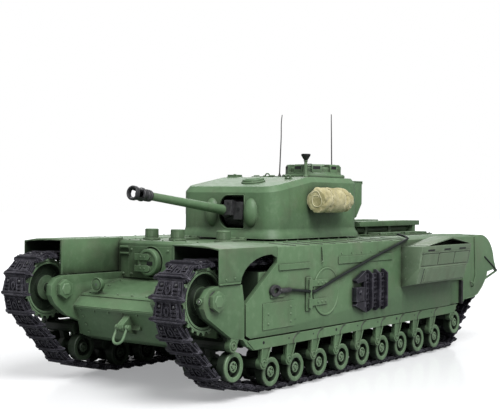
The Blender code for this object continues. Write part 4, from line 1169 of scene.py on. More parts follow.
def lean_out(solid, foot, foot_z, head, head_z):
    """Shears a plate that stands at X = 0 onto a face that leans from one (x, z) to another."""
    for vert in solid.verts:
        vert.co.x += foot + (head - foot) * (vert.co.z - foot_z) / (head_z - foot_z)
    return solid


def make_intake_details(label, side):
    """Louvre panels, slots and lips on the two leaning faces of the air intake; the slots and the gaps between panels
    are black as painted shade.
    """
    intake_low, intake_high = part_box("left_air_intake")
    front, rear = intake_low.y, intake_high.y
    upper = (0.1070, 0.0785, intake_high.x, 0.0951)
    lower = (0.1044, 0.0654, 0.1078, 0.0780)
    parts = []
    dark = []
    gaps = [front + (rear - front) * share for share in (0.03, 0.345, 0.665, 0.975)]
    for start, end in zip(gaps, gaps[1:]):
        corner = arc((end - 0.0018, 0.0884), (0.0010, 0.0010), 0.0, 90.0, 4)
        outline = [(start + 0.0008, 0.0800), (end - 0.0008, 0.0800), *corner, (start + 0.0008, 0.0894)]
        parts.append(lean_out(prism("x", -0.0002, 0.0004, outline), *upper))
        centre = 0.5 * (start + end)
        slot = block((-0.0006, centre - 0.0062, 0.0917), (0.0001, centre + 0.0062, 0.0930))
        dark.append(lean_out(slot, *upper))
        dark.append(lean_out(block((-0.0006, end - 0.0006, 0.0798), (0.0001, end + 0.0002, 0.0894)), *upper))
    parts.append(lean_out(block((-0.0002, front + 0.0006, 0.0901), (0.0005, rear - 0.0006, 0.0908)), *upper))
    box_rear = 0.1268
    parts.append(lean_out(block((-0.0002, front + 0.0120, 0.0664), (0.0004, box_rear - 0.0012, 0.0772)), *lower))
    parts.append(lean_out(block((-0.0002, front + 0.0002, 0.0654), (0.0005, front + 0.0070, 0.0778)), *lower))
    dark.append(lean_out(block((-0.0006, front + 0.0074, 0.0656), (0.0002, front + 0.0088, 0.0776)), *lower))
    for index in range(3):
        place = (front - 0.0001, 0.0690 + 0.0090 * index)
        parts.append(rod("y", place[0], place[0] + 0.0004, (0.0950, place[1]), 0.0006, 6))
    # The panels take the lighter copy of the green, painted light.
    piece(f"{label}_intake_panels", sided(together(parts), side), LIT_GREEN, "hull", 0.00012)
    # Black strips as painted shade in the slots and gaps.
    piece(f"{label}_intake_slots", sided(together(dark), side), BLACK, "hull")


# ---------------------------------------------------------------- hull front
PLATE_Y = low("upper_hull").y + 0.0010
NOSE = [(-0.1450, 0.0733), (-0.1885, 0.0640), (-0.1967, 0.0562), (-0.1855, 0.0340), (-0.1750, 0.0300)]


def on_nose(index, share):
    """A point, and the outward direction there, on one of the nose's faces."""
    start, end = Vector(NOSE[index]), Vector(NOSE[index + 1])
    along = (end - start).normalized()
    return start.lerp(end, share), Vector((along.y, -along.x))


def nose_strip(index, share, x1, x2, width, height):
    """A flat strip across a face of the nose."""
    point, out = on_nose(index, share)
    along = Vector((-out.y, out.x))
    if out.x > 0.0:
        out = -out
    a, b = point - 0.5 * width * along, point + 0.5 * width * along
    outline = [a - 0.0003 * out, b - 0.0003 * out, b + height * out, a + height * out]
    return prism("x", x1, x2, [tuple(corner) for corner in outline])


def nose_bolt(index, share, x, radius=0.0011):
    point, out = on_nose(index, share)
    if out.x > 0.0:
        out = -out
    bolt = hex_bolt("z", -0.0002, 0.0010, (0.0, 0.0), radius)
    lean = Vector((0.0, out.x, out.y)).to_track_quat("Z", "X").to_matrix().to_4x4()
    return placed(bolt, Matrix.Translation((x, point.x, point.y)) @ lean)


def make_nose():
    """Bolts and joint strips on the glacis, the nose and the belly's front."""
    parts = [nose_strip(1, 0.06, -0.0470, 0.0470, 0.0022, 0.0006), nose_strip(2, 0.06, -0.0465, 0.0465, 0.0020, 0.0006)]
    for index in range(7):
        x = -0.0405 + 0.0135 * index
        parts.append(nose_bolt(0, 0.93, x, 0.0009))
        parts.append(nose_bolt(2, 0.14, x, 0.0009))
    for x in (-0.0400, 0.0400):
        for share in (0.35, 0.62, 0.88):
            parts.append(nose_bolt(2, share, x, 0.0012))
        for share in (0.20, 0.50):
            parts.append(nose_bolt(0, share, x, 0.0011))
    piece("nose_bolts", together(parts), GREEN, "hull", 0.00012)


def make_tow_lug():
    """The gusseted lug that carries the shackle, with its bolt."""
    pin = pivot("tow_shackle_swing")
    parts = []
    for offset in (-0.0021, 0.0021):
        outline = [(pin.y + 0.0105, pin.z + 0.0118), (pin.y - 0.0024, pin.z + 0.0022), (pin.y - 0.0030, pin.z),
                   (pin.y - 0.0016, pin.z - 0.0026), (pin.y + 0.0120, pin.z - 0.0060)]
        parts.append(prism("x", pin.x + offset - 0.0007, pin.x + offset + 0.0007, outline))
    parts.append(hex_bolt("x", pin.x + 0.0056, 0.0014, (pin.y, pin.z), 0.0021))
    for side in (1, -1):
        foot = [(pin.y + 0.0120, pin.z - 0.0028), (pin.y + 0.0062, pin.z - 0.0022), (pin.y + 0.0120, pin.z + 0.0098)]
        x1, x2 = pin.x + side * 0.0028, pin.x + side * 0.0095
        parts.append(prism("x", min(x1, x2), max(x1, x2), foot))
    piece("tow_lug", together(parts), GREEN, "hull", 0.0003)


def make_shackle():
    """A forged bow on a headed pin."""
    pin = pivot("tow_shackle_swing")
    bar, half, drop = 0.0011, 0.0045, 0.0080
    line = [(pin.x - half, pin.y, pin.z), (pin.x - half, pin.y, pin.z - 0.5 * drop)]
    for x, z in arc((pin.x, pin.z - drop), (half, half * 0.9), 180.0, 360.0, 14):
        line.append((x, pin.y, z))
    line.extend([(pin.x + half, pin.y, pin.z - 0.5 * drop), (pin.x + half, pin.y, pin.z)])
    bow = cable(line, bar * 0.88, 14)
    eyes = [rod("x", pin.x + x - 0.0009, pin.x + x + 0.0009, (pin.y, pin.z), 0.0018, 20) for x in (-half, half)]
    shank = rod("x", pin.x - half - 0.0010, pin.x + half + 0.0010, (pin.y, pin.z), 0.0009, 16)
    shackle = turn_about_x(together([bow, *eyes, shank]), pin, math.radians(28.0))
    piece("tow_shackle_bow", shackle, LIGHT_GREEN, "tow_shackle", replaces=("tow_shackle",))


def make_headlamp():
    """A round lamp on a stalk, with a glass and a hood rim."""
    centre = (-0.0300, 0.0713)
    front = -0.1905
    shell = [(front + 0.0070, 0.0008), (front + 0.0066, 0.0024), (front + 0.0040, 0.0044), (front + 0.0002, 0.0051),
             (front, 0.0048), (front + 0.0006, 0.0038), (front + 0.0010, 0.0)]
    parts = [turned("y", centre, shell, 32), block((-0.0308, front + 0.0030, 0.0628), (-0.0292, front + 0.0052, 0.0690)),
             block((-0.0330, front + 0.0020, 0.0632), (-0.0270, front + 0.0078, 0.0650))]
    piece("headlamp", together(parts), GREEN, "hull")
    glass = turned("y", centre, [(front + 0.0016, 0.0034), (front + 0.0006, 0.0034), (front + 0.0001, 0.0020),
                                 (front - 0.0001, 0.0)], 32)
    piece("headlamp_glass", glass, GLASS, "hull")


def make_driver_plate():
    """The driver's plate: raised frames, hinge pins and bolts."""
    y = PLATE_Y
    parts = [block((-0.0397, y - 0.0008, 0.0738), (0.0010, y + 0.0003, 0.0972)),
             block((-0.0480, y - 0.0005, 0.0738), (-0.0400, y + 0.0003, 0.0900)),
             block((0.0095, y - 0.0007, 0.0745), (0.0480, y + 0.0003, 0.0985))]
    for z in (0.0915, 0.0962):
        parts.append(rod("x", -0.0480, -0.0393, (y - 0.0012, z), 0.0011, 16))
    bolts = [(-0.0370, 0.0765), (-0.0370, 0.0945), (-0.0012, 0.0765), (-0.0012, 0.0945), (-0.0455, 0.0765),
             (0.0125, 0.0775), (0.0450, 0.0775), (0.0125, 0.0955), (0.0450, 0.0955), (-0.0200, 0.0755)]
    parts.extend(hex_bolt("y", y - 0.0003, -0.0014, point, 0.0011) for point in bolts)
    surround = turned("y", (visor_centre().x, visor_centre().z),
                      [(y, 0.0096), (y, 0.0118), (y - 0.0007, 0.0118), (y - 0.0010, 0.0114), (y - 0.0010, 0.0100)], 48,
                      looped=True)
    collar = turned("y", (middle("hull_machine_gun").x, middle("hull_machine_gun").z),
                    [(y, 0.0058), (y, 0.0098), (y - 0.0016, 0.0094), (y - 0.0028, 0.0066), (y - 0.0024, 0.0058)], 40,
                    looped=True)
    piece("driver_plate", together([*parts, surround, collar]), GREEN, "hull", 0.00018)


def visor_centre():
    box_low, box_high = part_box("driver_visor")
    radius = 0.5 * (box_high.z - box_low.z)
    return Vector((box_high.x - radius, box_low.y, 0.5 * (box_low.z + box_high.z)))


def make_visor():
    """The driver's round visor with its two hinge straps and a sight slot."""
    centre = visor_centre()
    radius = high("driver_visor").x - centre.x
    rear = high("driver_visor").y
    front = rear - 0.0042
    hinge = pivot("driver_visor_hinge")
    profile = [(rear, 0.0), (rear, radius), (front + 0.0012, radius), (front + 0.0003, radius - 0.0004),
               (front, radius - 0.0012), (front, radius - 0.0022), (front + 0.0008, radius - 0.0028),
               (front + 0.0006, 0.0)]
    parts = [turned("y", (centre.x, centre.z), profile, 56)]
    for offset in (-0.0047, 0.0038):
        z = centre.z + offset
        tail = arc((centre.x + 0.0004, z), (0.0023, 0.0023), -90.0, 90.0, 8)
        strap = [(hinge.x, z - 0.0023), *tail, (hinge.x, z + 0.0023)]
        parts.append(prism("y", front - 0.0006, front + 0.0010, strap))
        parts.append(rod("z", z - 0.0023, z + 0.0023, (hinge.x, hinge.y), 0.0016, 20))
        for x in (-0.0060, -0.0022):
            parts.append(hex_bolt("y", front - 0.0004, -0.0006, (centre.x + x, z), 0.0008))
    piece("visor_disc", together(parts), GREEN, "driver_visor", 0.00018, ("driver_visor",))
    # The sight slot is a black block: painted shade inside it.
    slot = block((centre.x - 0.0006, front + 0.0004, centre.z - 0.0022), (centre.x + 0.0046, front + 0.0009,
                 centre.z + 0.0006))
    piece("visor_slot", slot, BLACK, "driver_visor")


def make_hull_gun():
    """The hull machine gun in its ball."""
    point = pivot("hull_gun_swing")
    front = low("hull_machine_gun").y
    radius = 0.5 * (high("hull_machine_gun").z - low("hull_machine_gun").z)
    flat = Vector((point.x, point.z))
    collar = turned("y", flat, [(point.y - 0.0046, 0.0030), (point.y - 0.0064, 0.0030), (point.y - 0.0068, 0.0024),
                                (point.y - 0.0068, 0.0)], 28)
    barrel = [(point.y - 0.0040, 0.0019), (front + 0.0090, 0.0019), (front + 0.0086, 0.0015), (front + 0.0030, 0.0014),
              (front + 0.0026, 0.0018), (front, 0.0018), (front, 0.0011), (front + 0.0026, 0.0009),
              (front + 0.0026, 0.0)]
    gun = together([ball(point, (radius, radius, radius)), collar, turned("y", flat, barrel, 24)])
    piece("hull_gun_ball", gun, GUNMETAL, "hull_machine_gun", 0.00012, ("hull_machine_gun",))


def make_periscopes():
    """Flat-topped periscope drums on the front of the roof, each with a black window."""
    roof = TURRET_CENTRE.z
    y = -0.1250
    drums = []
    windows = []
    for x in (-0.0360, -0.0105, 0.0330):
        profile = [
            (roof - 0.0006, 0.0066),
            (roof + 0.0008, 0.0066),
            (roof + 0.0008, 0.0052),
            (roof + 0.0078, 0.0052),
            (roof + 0.0082, 0.0048),
            (roof + 0.0082, 0.0),
        ]
        drum = turned("z", (x, y), profile, 40)
        for turn in (-132.0, -104.0, -76.0, -48.0):
            across = x + 0.0048 * math.cos(math.radians(turn))
            along = y + 0.0048 * math.sin(math.radians(turn))
            slit = block((across - 0.0005, along - 0.0016, roof + 0.0026), (across + 0.0005, along + 0.0016, roof + 0.0064))
            drum = cut(drum, slit)
        drums.append(drum)
        windows.append(rod("z", roof + 0.0027, roof + 0.0063, (x, y), 0.0042, 24))
        for angle in range(30, 390, 60):
            turn = math.radians(angle)
            place = (x + 0.0060 * math.cos(turn), y + 0.0060 * math.sin(turn))
            drums.append(hex_bolt("z", roof + 0.0008, 0.0007, place, 0.0005))
    piece("periscope_drums", together(drums), GREEN, "hull", 0.00015)
    piece("periscope_windows", together(windows), BLACK, "hull")


def hatch_leaf(x1, x2, y1, y2, roof):
    """A roof hatch leaf with a lip, handle and two hinges."""
    parts = [block((x1, y1, roof - 0.0004), (x2, y2, roof + 0.0009))]
    parts.append(block((x1 + 0.0012, y1 + 0.0012, roof), (x2 - 0.0012, y2 - 0.0012, roof + 0.0014)))
    for share in (0.22, 0.78):
        x = x1 + share * (x2 - x1)
        parts.append(block((x - 0.0018, y2 - 0.0020, roof), (x + 0.0018, y2 + 0.0030, roof + 0.0020)))
        parts.append(rod("x", x - 0.0022, x + 0.0022, (y2 + 0.0002, roof + 0.0016), 0.0010, 14))
    grip = [(x1 + 0.35 * (x2 - x1), y1 + 0.0030, roof + 0.0010), (x1 + 0.35 * (x2 - x1), y1 + 0.0030, roof + 0.0030),
            (x1 + 0.65 * (x2 - x1), y1 + 0.0030, roof + 0.0030), (x1 + 0.65 * (x2 - x1), y1 + 0.0030, roof + 0.0010)]
    parts.append(cable(grip, 0.0005, 8))
    return together(parts)


def make_hull_roof():
    """Crew hatches and bolts on the front of the roof, and the deck joints beside the turret."""
    roof = TURRET_CENTRE.z
    parts = [hatch_leaf(-0.0300, -0.0155, -0.1120, -0.0940, roof), hatch_leaf(0.0155, 0.0300, -0.1120, -0.0940, roof)]
    for y in (-0.1410, 0.0680):
        for index in range(9):
            parts.append(hex_bolt("z", roof - 0.0004, 0.0010, (-0.0440 + 0.0110 * index, y), 0.0008))
    for x in (-0.0495, 0.0495):
        for index in range(14):
            parts.append(hex_bolt("z", roof - 0.0004, 0.0009, (x, -0.1280 + 0.0150 * index), 0.0007))
    piece("hull_roof_fittings", together(parts), GREEN, "hull", 0.00012)


# ---------------------------------------------------------------- engine deck and hull rear
def louvre(x1, x2, y1, y2, deck):
    """A framed grille with slats across it."""
    frame_parts = [block((x1, y1, deck - 0.0003), (x2, y1 + 0.0014, deck + 0.0016)),
                   block((x1, y2 - 0.0014, deck - 0.0003), (x2, y2, deck + 0.0016)),
                   block((x1, y1, deck - 0.0003), (x1 + 0.0014, y2, deck + 0.0016)),
                   block((x2 - 0.0014, y1, deck - 0.0003), (x2, y2, deck + 0.0016))]
    count = int((y2 - y1 - 0.003) / 0.0026)
    for index in range(count):
        y = y1 + 0.0022 + index * (y2 - y1 - 0.0044) / (count - 1)
        outline = [(y - 0.0007, deck - 0.0002), (y + 0.0001, deck - 0.0002), (y + 0.0009, deck + 0.0013),
                   (y + 0.0001, deck + 0.0013)]
        frame_parts.append(prism("x", x1 + 0.0010, x2 - 0.0010, outline))
    return together(frame_parts)


def silencer_cover(side):
    """A long ribbed cover over an exhaust silencer, with strap bands and a flared outlet."""
    x1, x2 = 0.0145, 0.0305
    section = [(x1, 0.1098), (x1, 0.1118), (x1 + 0.0030, 0.1136), (x2 - 0.0030, 0.1136), (x2, 0.1118), (x2, 0.1098)]
    parts = []
    for y in (0.0745, 0.0950, 0.1155, 0.1360, 0.1565, 0.1770):
        grown = [(x1 - 0.0004, 0.1096), (x1 - 0.0004, 0.1120), (x1 + 0.0028, 0.1140), (x2 - 0.0028, 0.1140),
                 (x2 + 0.0004, 0.1120), (x2 + 0.0004, 0.1096)]
        parts.append(prism("y", y - 0.0012, y + 0.0012, grown))
        for x in (x1 + 0.0020, x2 - 0.0020):
            parts.append(rod("z", 0.1120, 0.1139, (x, y), 0.0007, 6))
    parts.append(prism("y", 0.1790, 0.1858, section))
    return sided(together(parts), side)


def make_engine_deck():
    deck = 0.1026
    parts = []
    for side in (1, -1):
        parts.append(silencer_cover(side))
        parts.append(sided(louvre(0.0340, 0.0470, 0.0800, 0.1200, deck), side))
        parts.append(sided(louvre(0.0340, 0.0470, 0.1260, 0.1700, deck), side))
    parts.append(louvre(-0.0120, 0.0120, 0.1180, 0.1700, deck))
    parts.append(block((-0.0120, 0.0780, deck - 0.0003), (0.0120, 0.1120, deck + 0.0012)))
    for y in (0.0850, 0.1050):
        parts.append(rod("x", -0.0118, -0.0060, (y, deck + 0.0016), 0.0011, 14))
        parts.append(rod("x", 0.0060, 0.0118, (y, deck + 0.0016), 0.0011, 14))
    parts.append(turned("z", (0.0, 0.0950), [(deck, 0.0050), (deck + 0.0022, 0.0050), (deck + 0.0028, 0.0042),
                                             (deck + 0.0028, 0.0)], 32))
    for x in (-0.0470, 0.0470):
        for index in range(8):
            parts.append(hex_bolt("z", deck - 0.0003, 0.0010, (x * 1.013, 0.0765 + 0.0140 * index), 0.0007))
    piece("engine_deck_fittings", together(parts), GREEN, "hull", 0.00015)


def make_hull_rear():
    """Plates, towing eyes, a hitch and inspection covers on the tail."""
    y = high("upper_hull").y
    parts = [block((-0.0455, y - 0.0003, 0.0760), (0.0455, y + 0.0007, 0.0868))]
    for index in range(8):
        parts.append(hex_bolt("y", y + 0.0005, 0.0010, (-0.0420 + 0.0120 * index, 0.0782), 0.0009))
        parts.append(hex_bolt("y", y + 0.0005, 0.0010, (-0.0420 + 0.0120 * index, 0.0848), 0.0009))
    tail_top, tail_bottom = Vector((0.2020, 0.0560)), Vector((0.1930, 0.0380))
    for x in (-0.0240, 0.0240):
        eye_plate = [(0.1990, 0.0600), (0.2085, 0.0560), (0.2100, 0.0520), (0.2075, 0.0490), (0.1965, 0.0470)]
        for offset in (-0.0026, 0.0026):
            parts.append(prism("x", x + offset - 0.0008, x + offset + 0.0008, eye_plate))
        parts.append(rod("x", x - 0.0044, x + 0.0044, (0.2065, 0.0525), 0.0012, 16))
    middle_point = 0.5 * (tail_top + tail_bottom)
    parts.append(block((-0.0080, middle_point.x - 0.0010, 0.0440), (0.0080, middle_point.x + 0.0040, 0.0520)))
    parts.append(rod("y", middle_point.x + 0.0035, middle_point.x + 0.0075, (0.0, 0.0480), 0.0030, 24))
    upper_start, upper_end = Vector((0.1880, 0.0730)), tail_top
    for index in range(6):
        point = upper_start.lerp(upper_end, 0.30)
        bolt = placed(hex_bolt("z", 0.0, 0.0012, (0.0, 0.0), 0.0010),
                      Matrix.Translation((-0.0375 + 0.0150 * index, point.x - 0.0003, point.y - 0.0003))
                      @ Matrix.Rotation(math.radians(-50.0), 4, "X"))
        parts.append(bolt)
    piece("hull_rear_fittings", together(parts), GREEN, "hull", 0.00015)


def make_belly():
    """Drain covers under the hull."""
    floor = low("lower_hull").z if low("lower_hull").z > 0.02 else 0.0300
    parts = []
    for x, y, radius in ((-0.0200, -0.1200, 0.0080), (0.0200, -0.0200, 0.0080), (-0.0200, 0.0900, 0.0090),
                         (0.0180, 0.1400, 0.0060)):
        parts.append(turned("z", (x, y), [(floor + 0.0003, radius), (floor - 0.0006, radius),
                                          (floor - 0.0009, radius - 0.0006), (floor - 0.0009, 0.0)], 36))
        for index in range(6):
            turn = math.tau * index / 6
            place = (x + 0.75 * radius * math.cos(turn), y + 0.75 * radius * math.sin(turn))
            parts.append(rod("z", floor - 0.0014, floor - 0.0006, place, 0.0007, 6))
    piece("belly_covers", together(parts), GREEN, "hull", 0.00012)


# ---------------------------------------------------------------- turret
TURRET_X = 0.0460
TURRET_FRONT_Y = -0.0810
TURRET_REAR_Y = 0.0566
FRONT_ROUND = 0.0122
REAR_ROUND = 0.0250
TURRET_BASE_Z = low("turret_shell").z
SKIRT_TOP_Z = 0.1095
SKIRT_FLARE = 0.0034
ROOF_BREAK_Y = -0.0280
ROOF_SLOPE = 0.17
ROOF_EDGE = 0.0038
VENTILATOR = (0.0086, -0.0555)


def turret_plan(grow):
    """The turret seen from above, as (x, y) points, grown outwards by a distance."""
    front_y = TURRET_FRONT_Y + FRONT_ROUND
    rear_y = TURRET_REAR_Y - REAR_ROUND
    corners = [
        (TURRET_X - FRONT_ROUND, front_y, FRONT_ROUND, -90.0, 12),
        (TURRET_X - REAR_ROUND, rear_y, REAR_ROUND, 0.0, 18),
        (-TURRET_X + REAR_ROUND, rear_y, REAR_ROUND, 90.0, 18),
        (-TURRET_X + FRONT_ROUND, front_y, FRONT_ROUND, 180.0, 12),
    ]
    points = []
    for number, (x, y, radius, start, steps) in enumerate(corners):
        if number == 1:
            points.append((TURRET_X + grow, ROOF_BREAK_Y))
        if number == 3:
            points.append((-TURRET_X - grow, ROOF_BREAK_Y))
        points.extend(arc((x, y), (radius + grow, radius + grow), start, start + 90.0, steps))
    return points


def roof_height(y):
    return ROOF_Z + min(0.0, y - ROOF_BREAK_Y) * ROOF_SLOPE


def turret_body():
    """The cast shell's outside: flared skirt, upright wall, roof bevel and a roof in two planes."""
    levels = [
        (SKIRT_FLARE, lambda y: TURRET_BASE_Z),
        (SKIRT_FLARE * 0.85, lambda y: TURRET_BASE_Z + 0.0018),
        (SKIRT_FLARE * 0.55, lambda y: TURRET_BASE_Z + 0.0040),
        (SKIRT_FLARE * 0.25, lambda y: SKIRT_TOP_Z - 0.0018),
        (SKIRT_FLARE * 0.05, lambda y: SKIRT_TOP_Z),
        (0.0, lambda y: SKIRT_TOP_Z + 0.0012),
        (0.0, lambda y: roof_height(y) - ROOF_EDGE - 0.0006),
        (-0.0003, lambda y: roof_height(y) - ROOF_EDGE),
        (-ROOF_EDGE + 0.0004, lambda y: roof_height(y) - 0.0003),
        (-ROOF_EDGE, roof_height),
    ]
    bm = bmesh.new()
    rings = []
    for grow, height in levels:
        rings.append([bm.verts.new((x, y, height(y))) for x, y in turret_plan(grow)])
    count = len(rings[0])
    for lower, upper in zip(rings, rings[1:]):
        for index in range(count):
            after = (index + 1) % count
            bm.faces.new((lower[index], lower[after], upper[after], upper[index]))
    bm.faces.new(rings[0])
    crown = rings[-1]
    bm.faces.new([vert for vert in crown if vert.co.y >= ROOF_BREAK_Y - 0.00001])
    front = [index for index, vert in enumerate(crown) if vert.co.y <= ROOF_BREAK_Y + 0.00001]
    split = next(place for place, index in enumerate(front) if index != place)
    bm.faces.new([crown[index] for index in front[split:] + front[:split]])
    return closed_up(bm)


def mantlet_opening():
    """The gun opening in the turret face: square on one side, rounded on the other."""
    top, bottom = 0.1362, 0.1098
    centre_z = 0.5 * (top + bottom)
    half = 0.5 * (top - bottom)
    left = arc((0.0030, centre_z), (0.0096, half), 90.0, 270.0, 20)
    return [*left, (0.0180, bottom), (0.0188, bottom + 0.0008), (0.0188, top - 0.0008), (0.0180, top)]


def make_turret():
    """The cast shell with its mantlet opening and cheek bosses, and its seams; the ventilator comes with the roof
    fittings.
    """
    bosses = []
    for x in (-0.0125, 0.0250):
        bosses.append(ball((x, TURRET_FRONT_Y + 0.0010, TRUNNION.z), (0.0064, 0.0060, 0.0115)))
    shell = carved(turret_body(), "UNION", *bosses)
    inside = prism("z", TURRET_BASE_Z + 0.0030, 0.1345, turret_plan(-0.0030))
    ring = rod("z", 0.1000, 0.1100, (0.0, TURRET_CENTRE.y), 0.0260, 48)
    shell = cut(shell, inside, ring, prism("y", -0.0920, -0.0700, mantlet_opening()))
    piece("turret_casting", shell, CAST_GREEN, "turret", 0.00045, ("turret_shell",))
    seams = []
    for x in (-0.0312, 0.0312):
        line = [(x, TURRET_REAR_Y - 0.0010, z) for z in (0.1120, 0.1280, 0.1440)]
        seams.append(cable(line, 0.0007, 8))
    lip = [(x, TURRET_FRONT_Y + 0.0002, z) for x, z in mantlet_opening()]
    seams.append(cable(lip, 0.0006, 8, looped=True))
    piece("turret_seams", together(seams), CAST_GREEN, "turret")


def on_roof(solid, x, y):
    """Lays a solid, made flat at the origin, on the roof."""
    tilt = math.atan(ROOF_SLOPE) if y < ROOF_BREAK_Y else 0.0
    return placed(solid, Matrix.Translation((x, y, roof_height(y))) @ Matrix.Rotation(tilt, 4, "X"))


def ventilator():
    profile = [(-0.0008, 0.0096), (0.0008, 0.0096), (0.0012, 0.0088), (0.0024, 0.0086), (0.0030, 0.0080),
               (0.0030, 0.0066), (0.0036, 0.0060), (0.0040, 0.0)]
    bolts = [hex_bolt("z", 0.0008, 0.0009, (0.0085 * math.cos(math.tau * index / 6), 0.0085 * math.sin(math.tau * index / 6)),
                      0.0006) for index in range(6)]
    return together([turned("z", (0.0, 0.0), profile, 48), *bolts])


def lifting_eye():
    return cable([(-0.0022, 0.0, -0.0004), (-0.0020, 0.0, 0.0014), (-0.0010, 0.0, 0.0024), (0.0010, 0.0, 0.0024),
                  (0.0020, 0.0, 0.0014), (0.0022, 0.0, -0.0004)], 0.0006, 10)


def roof_hatch():
    """The loader's hatch: two leaves in a coaming, with hinges and a handle."""
    parts = [block((-0.0145, -0.0100, -0.0004), (0.0145, 0.0100, 0.0006))]
    for start, end in ((-0.0098, -0.0002), (0.0002, 0.0098)):
        parts.append(block((-0.0135, start + 0.0004, 0.0004), (0.0135, end - 0.0004, 0.0014)))
    for y in (-0.0096, 0.0096):
        for x in (-0.0080, 0.0080):
            parts.append(rod("x", x - 0.0026, x + 0.0026, (y, 0.0014), 0.0009, 14))
    parts.append(placed(lifting_eye(), Matrix.Translation((0.0, -0.0050, 0.0012))))
    return together(parts)


def make_roof_fittings():
    parts = [on_roof(ventilator(), *VENTILATOR), on_roof(roof_hatch(), -0.0180, 0.0060)]
    for x, y in ((0.0380, 0.0250), (-0.0380, 0.0250)):
        parts.append(on_roof(lifting_eye(), x, y))
    cover = together([block((-0.0048, -0.0038, -0.0004), (0.0048, 0.0038, 0.0022)),
                      block((-0.0054, -0.0044, -0.0004), (0.0054, 0.0044, 0.0006)),
                      hex_bolt("z", 0.0020, 0.0008, (0.0, 0.0), 0.0014)])
    parts.append(on_roof(cover, -0.0345, -0.0230))
    bracket = together([block((-0.0030, -0.0012, -0.0004), (0.0030, 0.0012, 0.0010)),
                        block((-0.0026, -0.0006, 0.0006), (-0.0012, 0.0006, 0.0026)),
                        block((0.0012, -0.0006, 0.0006), (0.0026, 0.0006, 0.0026))])
    parts.append(on_roof(bracket, 0.0300, -0.0380))
    piece("turret_roof_fittings", together(parts), GREEN, "turret", 0.00015)


def make_turret_sides():
    """Small fittings on the turret's walls."""
    parts = []
    for side in (1, -1):
        port = turned("x", (-0.0010, 0.1235), [(TURRET_X - 0.0006, 0.0052), (TURRET_X + 0.0004, 0.0052),
                                               (TURRET_X + 0.0010, 0.0046), (TURRET_X + 0.0010, 0.0)], 36)
        grip = cable([(TURRET_X - 0.0004, -0.0500, 0.1330), (TURRET_X + 0.0014, -0.0498, 0.1330),
                      (TURRET_X + 0.0014, -0.0402, 0.1330), (TURRET_X - 0.0004, -0.0400, 0.1330)], 0.0005, 8)
        if side < 0:
            parts.extend([mirrored(port), mirrored(grip)])
            continue
        port.free()
        grip.free()
    piece("turret_side_port", together(parts), GREEN, "turret")


# ---------------------------------------------------------------- gun
def make_mantlet():
    """The drum on its trunnions, and the second gun's housing beside the barrel."""
    box_low, box_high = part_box("mantlet")
    centre = (TRUNNION.y, TRUNNION.z)
    profile = [(box_low.x + 0.0002, 0.0), (box_low.x + 0.0002, 0.0108), (box_low.x + 0.0008, 0.0114),
               (box_high.x - 0.0008, 0.0114), (box_high.x - 0.0002, 0.0108), (box_high.x - 0.0002, 0.0)]
    drum = turned("x", centre, profile, 56)
    ribs = []
    for x in (-0.0044, 0.0096, 0.0160):
        ribs.append(turned("x", centre, [(x, 0.0), (x, 0.0116), (x + 0.0010, 0.0116), (x + 0.0010, 0.0)], 56))
    collar = turned("y", (0.0, centre[1]), [(centre[0] - 0.0090, 0.0), (centre[0] - 0.0090, 0.0058),
                                            (centre[0] - 0.0136, 0.0056), (centre[0] - 0.0146, 0.0048),
                                            (centre[0] - 0.0146, 0.0)], 40)
    housing = block((0.0012, centre[0] - 0.0184, centre[1] - 0.0040), (0.0086, centre[0] - 0.0060, centre[1] + 0.0076))
    wedge = prism("x", 0.0086, 0.0172, [(centre[0] - 0.0090, centre[1] - 0.0080), (centre[0] - 0.0146, centre[1] - 0.0070),
                                        (centre[0] - 0.0150, centre[1] + 0.0066), (centre[0] - 0.0090, centre[1] + 0.0076)])
    solid = together([drum, *ribs, collar, housing, wedge])
    piece("mantlet_drum", raised_gun(solid), GUNMETAL, "mantlet", 0.0003, ("mantlet",))
    # The ports are black discs: painted shade inside the openings.
    port = turned("y", (0.0052, centre[1] + 0.0048), [(centre[0] - 0.0186, 0.0), (centre[0] - 0.0186, 0.0011),
                                                     (centre[0] - 0.0183, 0.0011), (centre[0] - 0.0183, 0.0)], 20)
    piece("coaxial_gun_port", raised_gun(port), BLACK, "mantlet")
    sight = turned("y", (0.0130, centre[1] + 0.0010), [(centre[0] - 0.0152, 0.0), (centre[0] - 0.0152, 0.0014),
                                                      (centre[0] - 0.0146, 0.0014), (centre[0] - 0.0146, 0.0)], 20)
    piece("gun_sight_port", raised_gun(sight), BLACK, "mantlet")


def make_barrel():
    """A tapered barrel with a sleeve at its root."""
    length = (TRUNNION - low("gun_barrel")).y / BORE.y * -1.0
    y = TRUNNION.y
    profile = [(y + 0.0080, 0.0), (y + 0.0080, 0.0039), (y - 0.0200, 0.0039), (y - 0.0206, 0.0036), (y - 0.0330, 0.0036),
               (y - 0.0650, 0.0032), (y - length + 0.0003, 0.0029), (y - length, 0.0027), (y - length, 0.0)]
    barrel = raised_gun(turned("y", (0.0, TRUNNION.z), profile, 40))
    piece("barrel_tube", barrel, GREEN, "gun", replaces=("gun_barrel",))
    return y - length


